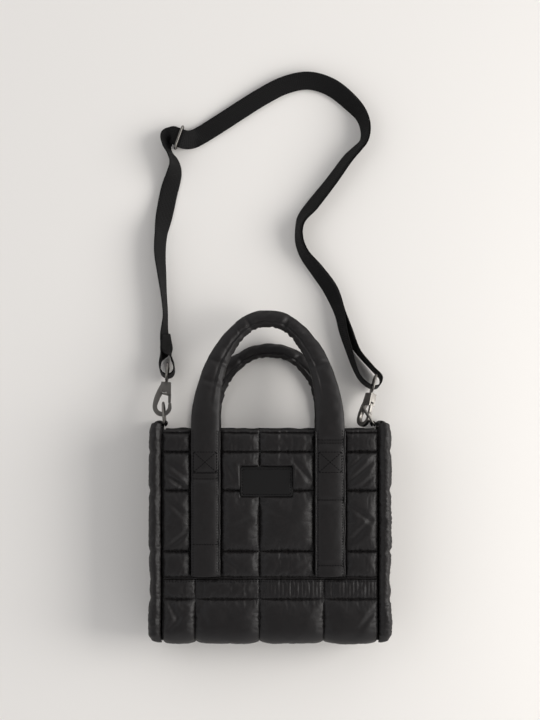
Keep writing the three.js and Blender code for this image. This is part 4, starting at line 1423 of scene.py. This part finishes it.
def sew(name, rows, objects, sizes, lift=0.12):
    """Threads laid on a surface: each stitch is a short cord bowed up at its middle and sunk at its ends."""
    points, faces = [], []
    for start, end in rows:
        for a, b in stitch_row(start, end, sizes.stitch):
            heights = [surface_under(objects, *p) for p in (a, (a + b) / 2, b)]
            if any(h is None for h in heights):
                continue
            radius = sizes.thread / 2
            middle = max(heights[1], (heights[0] + heights[2]) / 2)
            path = []
            for t, low in ((0, -0.22), (0.18, 0.05), (0.5, lift), (0.82, 0.05), (1, -0.22)):
                place = a.lerp(b, t)
                edge = heights[0] if t < 0.5 else heights[2]
                height = middle if t == 0.5 else edge + (middle - edge) * min(t, 1 - t) * 2
                path.append(Vector((place.x, place.y, height + low)))
            along = (path[-1] - path[0]).normalized()
            aside = along.cross(Vector((0, 0, 1))).normalized()
            over = aside.cross(along)
            first = len(points)
            for place in path:
                for j in range(6):
                    angle = math.pi * j / 3
                    points.append(tuple(place + (aside * math.cos(angle) + over * math.sin(angle)) * radius))
            faces += grid_faces(len(path), 6, start=first, wrap=True)
            faces.append(tuple(first + j for j in range(6)))
            faces.append(tuple(first + (len(path) - 1) * 6 + j for j in reversed(range(6))))
    return mesh_object(name, points, faces)


def by_name(*names):
    return [bpy.data.objects[name] for name in names]


class TOTE_OT_stitching(bpy.types.Operator):
    """Sew the quilting, the legs' edges and their crosses, and lay the piping"""

    bl_idname = "tote.stitching"
    bl_label = "Stitching and piping"

    def execute(self, context):
        sizes = context.scene.tote_sizes
        finishes = materials(context.scene)
        legs = {k: sizes.leg_centre + k * sizes.leg_spacing / 2 for k in (-1, 1)}
        half = sizes.leg_width / 2
        rows = []
        for x in PANEL_COLUMNS[1:-1]:
            rows.append(((x, -42.0), (x, 113.5)))
        for y in PANEL_ROWS[1:5]:
            for low, high in ((-116.5, legs[-1] - half - 1), (legs[-1] + half + 1, legs[1] - half - 1)):
                rows.append(((low, y), (high, y)))
            rows.append(((legs[1] + half + 1, y), (116.5, y)))
        panel = by_name("front_cloth")
        quilting = sew("quilting_stitches", rows, panel, sizes, lift=0.02)
        finish(quilting, finishes["thread"])

        rows = []
        for end, middle in legs.items():
            for edge in (-1, 1):
                x = middle + edge * (half - 2.4)
                rows.append(((x, -41.0), (x, 117.5)))
            for y in FRONT_TACKS[end]:
                rows.append(((middle - half + 2.4, y), (middle + half - 2.4, y)))
            low, high, across = BOX_CROSS["low"], BOX_CROSS["high"], BOX_CROSS["half_width"]
            corners = [(middle + i * across, y) for i, y in ((-1, low), (1, low), (1, high), (-1, high))]
            rows += [(corners[k], corners[(k + 1) % 4]) for k in range(4)]
            rows += [(corners[0], corners[2]), (corners[1], corners[3])]
        leg_threads = sew("leg_stitches", rows, by_name("handle_cloth_front"), sizes, lift=0.05)
        finish(leg_threads, finishes["thread"])

        rows = [((-116, -45.6), (116, -45.6)), ((-116, -47.4), (116, -47.4))]
        base_threads = sew("base_stitches", rows, by_name("base_cloth"), sizes, lift=0.02)
        finish(base_threads, finishes["thread"])

        edges = [
            ("leg_piping_left", legs[-1] + half - 0.1),
            ("leg_piping_right_inner", legs[1] - half + 0.1),
            ("leg_piping_right_outer", legs[1] + half - 0.1),
        ]
        for name, x in edges:
            path = []
            for k in range(80):
                y = -41.5 + 157.5 * k / 79
                height = sizes.front_seam + 5.4 + 0.4 * noise(Vector((y / 9.0, x, 1.0)))
                path.append(Vector((x + 0.5 * noise(Vector((y / 12.0, x, 6.0))), y, height)))
            cord = tube(name, path, sizes.piping / 2)
            finish(cord, finishes["nylon"])
        path = []
        for k in range(150):
            x = -116.0 + 232.0 * k / 149
            heights = [surface_under(by_name("front_cloth", "base_cloth"), x, y) for y in (-43.2, -44.6)]
            height = min([h for h in heights if h is not None] or [sizes.front_seam])
            path.append(Vector((x, -43.7 + 0.25 * math.sin(x * 0.23), height + sizes.piping * 0.3)))
        cord = tube("base_piping", path, sizes.piping / 2)
        finish(cord, finishes["nylon"])
        return {"FINISHED"}


def rounded_rectangle(width, height, radius, steps=6):
    """Corners of a rounded rectangle about its middle, anticlockwise."""
    places = []
    for quarter, (sx, sy) in enumerate(((1, 1), (-1, 1), (-1, -1), (1, -1))):
        for k in range(steps + 1):
            angle = math.pi / 2 * (quarter + k / steps)
            x = sx * (width / 2 - radius) + radius * math.cos(angle)
            y = sy * (height / 2 - radius) + radius * math.sin(angle)
            places.append((x, y))
    return places


class TOTE_OT_patch(bpy.types.Operator):
    """Make the bare sewn patch on the front"""

    bl_idname = "tote.patch"
    bl_label = "Patch"

    def execute(self, context):
        finishes = materials(context.scene)
        low, high = PATCH_LOW, PATCH_HIGH
        middle = (low + high) / 2
        width, height = high.x - low.x, high.y - low.y
        # Insets from the edge, and heights as shares of the patch's thickness, with a dip at the stitches
        rings = [
            (0.0, 0.25),
            (0.0, 0.75),
            (0.3, 1.0),
            (1.5, 1.02),
            (2.2, 0.78),
            (2.9, 1.0),
            (4.5, 1.0),
        ]
        points = []
        count = 0
        for inset, rise in rings:
            outline = rounded_rectangle(width - 2 * inset, height - 2 * inset, max(0.4, 1.6 - inset * 0.3))
            count = len(outline)
            z = low.z + (high.z - low.z) * rise
            points += [(middle.x + x, middle.y + y, z) for x, y in outline]
        faces = grid_faces(len(rings), count, wrap=True)
        faces.append(tuple(range(count)))
        top = (len(rings) - 1) * count
        faces.append(tuple(top + j for j in reversed(range(count))))
        patch = mesh_object("sewn_patch", points, faces, smooth=False)
        finish(patch, finishes["patch"], stands_for=["label_patch"])
        sizes = context.scene.tote_sizes
        margin = 2.2
        x, y = width / 2 - margin, height / 2 - margin
        corners = [(middle.x + i * x, middle.y + j * y) for i, j in ((-1, -1), (1, -1), (1, 1), (-1, 1))]
        rows = [(corners[k], corners[(k + 1) % 4]) for k in range(4)]
        border = sew("patch_stitches", rows, [patch], sizes, lift=0.1)
        finish(border, finishes["thread"])
        return {"FINISHED"}


# Metal pieces

RINGS = {
    "left": {"x": -116.2, "y": 122.94, "z": 31.0, "swing": 4},
    "right": {"x": 113.4, "y": 122.94, "z": 31.0, "swing": 31},
}
# Wire loops, as shares of their length and of their half width
D_SHAPE = [
    (0, -0.55),
    (0, 0.55),
    (0.03, 0.93),
    (0.14, 1),
    (0.5, 1),
    (0.78, 0.8),
    (0.95, 0.45),
    (1, 0),
    (0.95, -0.45),
    (0.78, -0.8),
    (0.5, -1),
    (0.14, -1),
    (0.03, -0.93),
]
EYE_SHAPE = [
    (0, -0.6),
    (0, 0.6),
    (0.08, 0.9),
    (0.25, 1),
    (0.75, 1),
    (0.93, 0.92),
    (1, 0.7),
    (1, -0.7),
    (0.93, -0.92),
    (0.75, -1),
    (0.25, -1),
    (0.08, -0.9),
]
SLIDER_SHAPE = [(-0.9, -1), (0.9, -1), (1, -0.85), (1, 0.85), (0.9, 1), (-0.9, 1), (-1, 0.85), (-1, -0.85)]


def closed_curve(points, steps):
    """A smooth closed curve through points."""
    ringed = [points[-1], *points, points[0], points[1]]
    curve = centripetal(ringed, steps)
    return curve[steps : steps * (len(points) + 1)]


def bent_wire(name, outline, place, diameter, steps=8, rods=()):
    """A closed loop of wire, with straight rods joined to it, set in its place."""
    curve = [place @ p for p in closed_curve(outline, steps)]
    wire = tube(name, curve, diameter / 2, sides=16, closed=True)
    extras = [
        tube(f"{name}_rod", [place @ a, place @ a.lerp(b, 0.5), place @ b], d / 2, sides=16)
        for a, b, d in rods
    ]
    for extra in extras:
        work = bmesh.new()
        work.from_mesh(wire.data)
        work.from_mesh(extra.data)
        work.to_mesh(wire.data)
        work.free()
        mesh = extra.data
        bpy.data.objects.remove(extra)
        bpy.data.meshes.remove(mesh)
    wire.data.polygons.foreach_set("use_smooth", [len(p.vertices) < 5 for p in wire.data.polygons])
    return wire


class TOTE_OT_metalware(bpy.types.Operator):
    """Make the D rings, the hooks' eyes and the slider, and give the hooks their plate"""

    bl_idname = "tote.metalware"
    bl_label = "Metalware"

    def execute(self, context):
        metal = materials(context.scene)["metal"]
        for name, ring in RINGS.items():
            place = Matrix.Translation((ring["x"], ring["y"], ring["z"]))
            place = place @ Matrix.Rotation(math.radians(ring["swing"]), 4, "Z")
            outline = [Vector((0, along * 22.9, high * 11.7)) for along, high in D_SHAPE]
            wire = bent_wire(f"ring_wire_{name}", outline, place, WIRE)
            finish(wire, metal, stands_for=[f"d_ring_{name}"])
        for name in CLASPS:
            outline = [Vector((0, 2.5 + along * 17.5, high * EYE_HALF)) for along, high in EYE_SHAPE]
            stem = (Vector((0, 2.5, 0)), Vector((0, -4.7, 0)), 3.0)
            wire = bent_wire(f"eye_wire_{name}", outline, clasp_frame(name), WIRE, rods=[stem])
            finish(wire, metal, stands_for=[f"hook_eye_{name}"])
        long, high = (27 - 2.6) / 2, (17 - 2.6) / 2
        outline = [Vector((x * long, 0, z * high)) for x, z in SLIDER_SHAPE]
        bar = (Vector((-long, 0, 0)), Vector((long, 0, 0)), 2.6)
        wire = bent_wire("slider_wire", outline, slider_frame(), WIRE, rods=[bar])
        finish(wire, metal, stands_for=["strap_slider"])
        for side in ("left", "right"):
            body = rounded_casting(f"hook_casting_{side}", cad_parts[f"hook_body_{side}"], 0.75)
            finish(body, metal, stands_for=[f"hook_body_{side}"])
            gate = rounded_casting(f"gate_casting_{side}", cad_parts[f"hook_gate_{side}"], 0.5)
            finish(gate, metal, body=f"gate_{side}", stands_for=[f"hook_gate_{side}"])
        return {"FINISHED"}


def rounded_casting(name, model, radius):
    """A new piece on a model's outline, with its sharp edges rounded as die-casting leaves them."""
    work = bmesh.new()
    work.from_mesh(model.data)
    bmesh.ops.remove_doubles(work, verts=work.verts, dist=0.01 * MM)
    bmesh.ops.dissolve_limit(work, angle_limit=math.radians(2), verts=work.verts, edges=work.edges)
    sharp = [e for e in work.edges if e.is_manifold and e.calc_face_angle(0) > math.radians(38)]
    bmesh.ops.bevel(
        work,
        geom=sharp,
        offset=radius * MM,
        offset_type="OFFSET",
        segments=3,
        profile=0.6,
        affect="EDGES",
        clamp_overlap=True,
    )
    bmesh.ops.recalc_face_normals(work, faces=work.faces)
    mesh = bpy.data.meshes.new(name)
    work.to_mesh(mesh)
    work.free()
    mesh.polygons.foreach_set("use_smooth", [True] * len(mesh.polygons))
    mesh.set_sharp_from_angle(angle=math.radians(42))
    obj = bpy.data.objects.new(name, mesh)
    bpy.context.collection.objects.link(obj)
    return obj


class TOTE_OT_tabs(bpy.types.Operator):
    """Make the webbing tabs that hold the D rings"""

    bl_idname = "tote.tabs"
    bl_label = "Ring tabs"

    def execute(self, context):
        sizes = context.scene.tote_sizes
        for name, ring in RINGS.items():
            centre = Vector((ring["x"], ring["y"], ring["z"]))
            sections = []
            radius = 1.6 + sizes.webbing_thickness / 2
            width = Vector((0, 0, 1))
            for x, y in ((-1.05, -2.6), (-1.4, -1.9)):
                sections.append((centre + Vector((x, y, 0)), width))
            for k in range(9):
                angle = math.radians(205 - 230 * k / 8)
                sections.append((centre + Vector((math.cos(angle), math.sin(angle), 0)) * radius, width))
            for x, y in ((1.4, -1.9), (1.05, -2.6)):
                sections.append((centre + Vector((x, y, 0)), width))
            tab = webbing_loft(f"ring_tab_cloth_{name}", sections, 18.0, sizes.webbing_thickness, 3)
            finish(tab, materials(context.scene)["webbing"], stands_for=[f"ring_tab_{name}"])
        return {"FINISHED"}


# The photograph's setting


class TOTE_OT_stage(bpy.types.Operator):
    """Set the pale floor, the soft lights and the camera that looks straight down"""

    bl_idname = "tote.stage"
    bl_label = "Stage"

    def execute(self, context):
        scene = context.scene
        far = 4000
        corners = [(-far, -far, 0), (far, -far, 0), (far, far, 0), (-far, far, 0)]
        floor = mesh_object("floor", corners, [(0, 1, 2, 3)], smooth=False)
        floor.data.materials.append(materials(scene)["floor"])

        world = bpy.data.worlds.new("studio")
        scene.world = world
        world.use_nodes = True
        tree = world.node_tree
        backdrop = tree.nodes["Background"]
        place = node(tree, "ShaderNodeTexCoord")
        parts = node(tree, "ShaderNodeSeparateXYZ", inputs={0: place.outputs["Generated"]})
        shade = node(
            tree,
            "ShaderNodeMapRange",
            inputs={
                "Value": parts.outputs["Z"],
                "From Min": 0.45,
                "From Max": 0.95,
                "To Min": 1.12,
                "To Max": 0.1,
            },
        )
        tree.links.new(shade.outputs["Result"], backdrop.inputs["Strength"])
        backdrop.inputs["Color"].default_value = (0.985, 0.985, 1.0, 1.0)

        lamps = [
            ("window", (2900, 500, 1500), 1900, 80.0, (1.0, 0.985, 0.965)),
            ("fill", (-1500, 900, 1900), 1800, 6.0, (0.97, 0.98, 1.0)),
            ("side", (1000, -60, 480), 500, 3.4, (1.0, 0.97, 0.93)),
        ]
        for name, place, size, power, tint in lamps:
            lamp = bpy.data.lights.new(name, "AREA")
            lamp.shape = "SQUARE"
            lamp.size = size * MM
            lamp.energy = power
            lamp.color = tint
            obj = bpy.data.objects.new(name, lamp)
            bpy.context.collection.objects.link(obj)
            obj.location = Vector(place) * MM
            aim = Vector((0, 150, 0)) * MM - obj.location
            obj.rotation_euler = aim.to_track_quat("-Z", "Y").to_euler()

        view = bpy.data.cameras.new("camera")
        view.sensor_fit = "VERTICAL"
        view.sensor_height = 24.0
        view.lens = 24.0 / 2 / (405 / 1600)
        view.clip_start = 0.05
        view.clip_end = 20.0
        camera = bpy.data.objects.new("camera", view)
        bpy.context.collection.objects.link(camera)
        camera.location = (0.0, 0.193, 1.6)
        camera.rotation_euler = (0.0, 0.0, 0.0)
        scene.camera = camera
        scene.view_settings.view_transform = "Standard"
        return {"FINISHED"}


class TOTE_PT_panel(bpy.types.Panel):
    """The tote bag's pieces, sizes and colours"""

    bl_idname = "TOTE_PT_panel"
    bl_label = "Quilted tote bag"
    bl_space_type = "VIEW_3D"
    bl_region_type = "UI"
    bl_category = "Tote"

    def draw(self, context):
        column = self.layout.column(align=True)
        for operator in OPERATORS:
            column.operator(operator.bl_idname)
        for group in (context.scene.tote_sizes, context.scene.tote_colours):
            column.separator()
            for name in group.__annotations__:
                column.prop(group, name)


OPERATORS = [
    TOTE_OT_stage,
    TOTE_OT_front,
    TOTE_OT_back,
    TOTE_OT_base,
    TOTE_OT_sides,
    TOTE_OT_handles,
    TOTE_OT_patch,
    TOTE_OT_stitching,
    TOTE_OT_strap,
    TOTE_OT_tabs,
    TOTE_OT_metalware,
]
CLASSES = [ToteSizes, ToteColours, *OPERATORS, TOTE_PT_panel]


def register():
    for kind in CLASSES:
        bpy.utils.register_class(kind)
    bpy.types.Scene.tote_sizes = bpy.props.PointerProperty(type=ToteSizes)
    bpy.types.Scene.tote_colours = bpy.props.PointerProperty(type=ToteColours)


def unregister():
    del bpy.types.Scene.tote_colours
    del bpy.types.Scene.tote_sizes
    for kind in reversed(CLASSES):
        bpy.utils.unregister_class(kind)


def main():
    register()
    bpy.ops.tote.stage()
    bpy.ops.tote.front()
    bpy.ops.tote.back()
    bpy.ops.tote.base()
    bpy.ops.tote.sides()
    bpy.ops.tote.handles()
    bpy.ops.tote.patch()
    bpy.ops.tote.stitching()
    bpy.ops.tote.strap()
    bpy.ops.tote.tabs()
    bpy.ops.tote.metalware()
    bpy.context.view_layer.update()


if __name__ == "__main__":
    main()
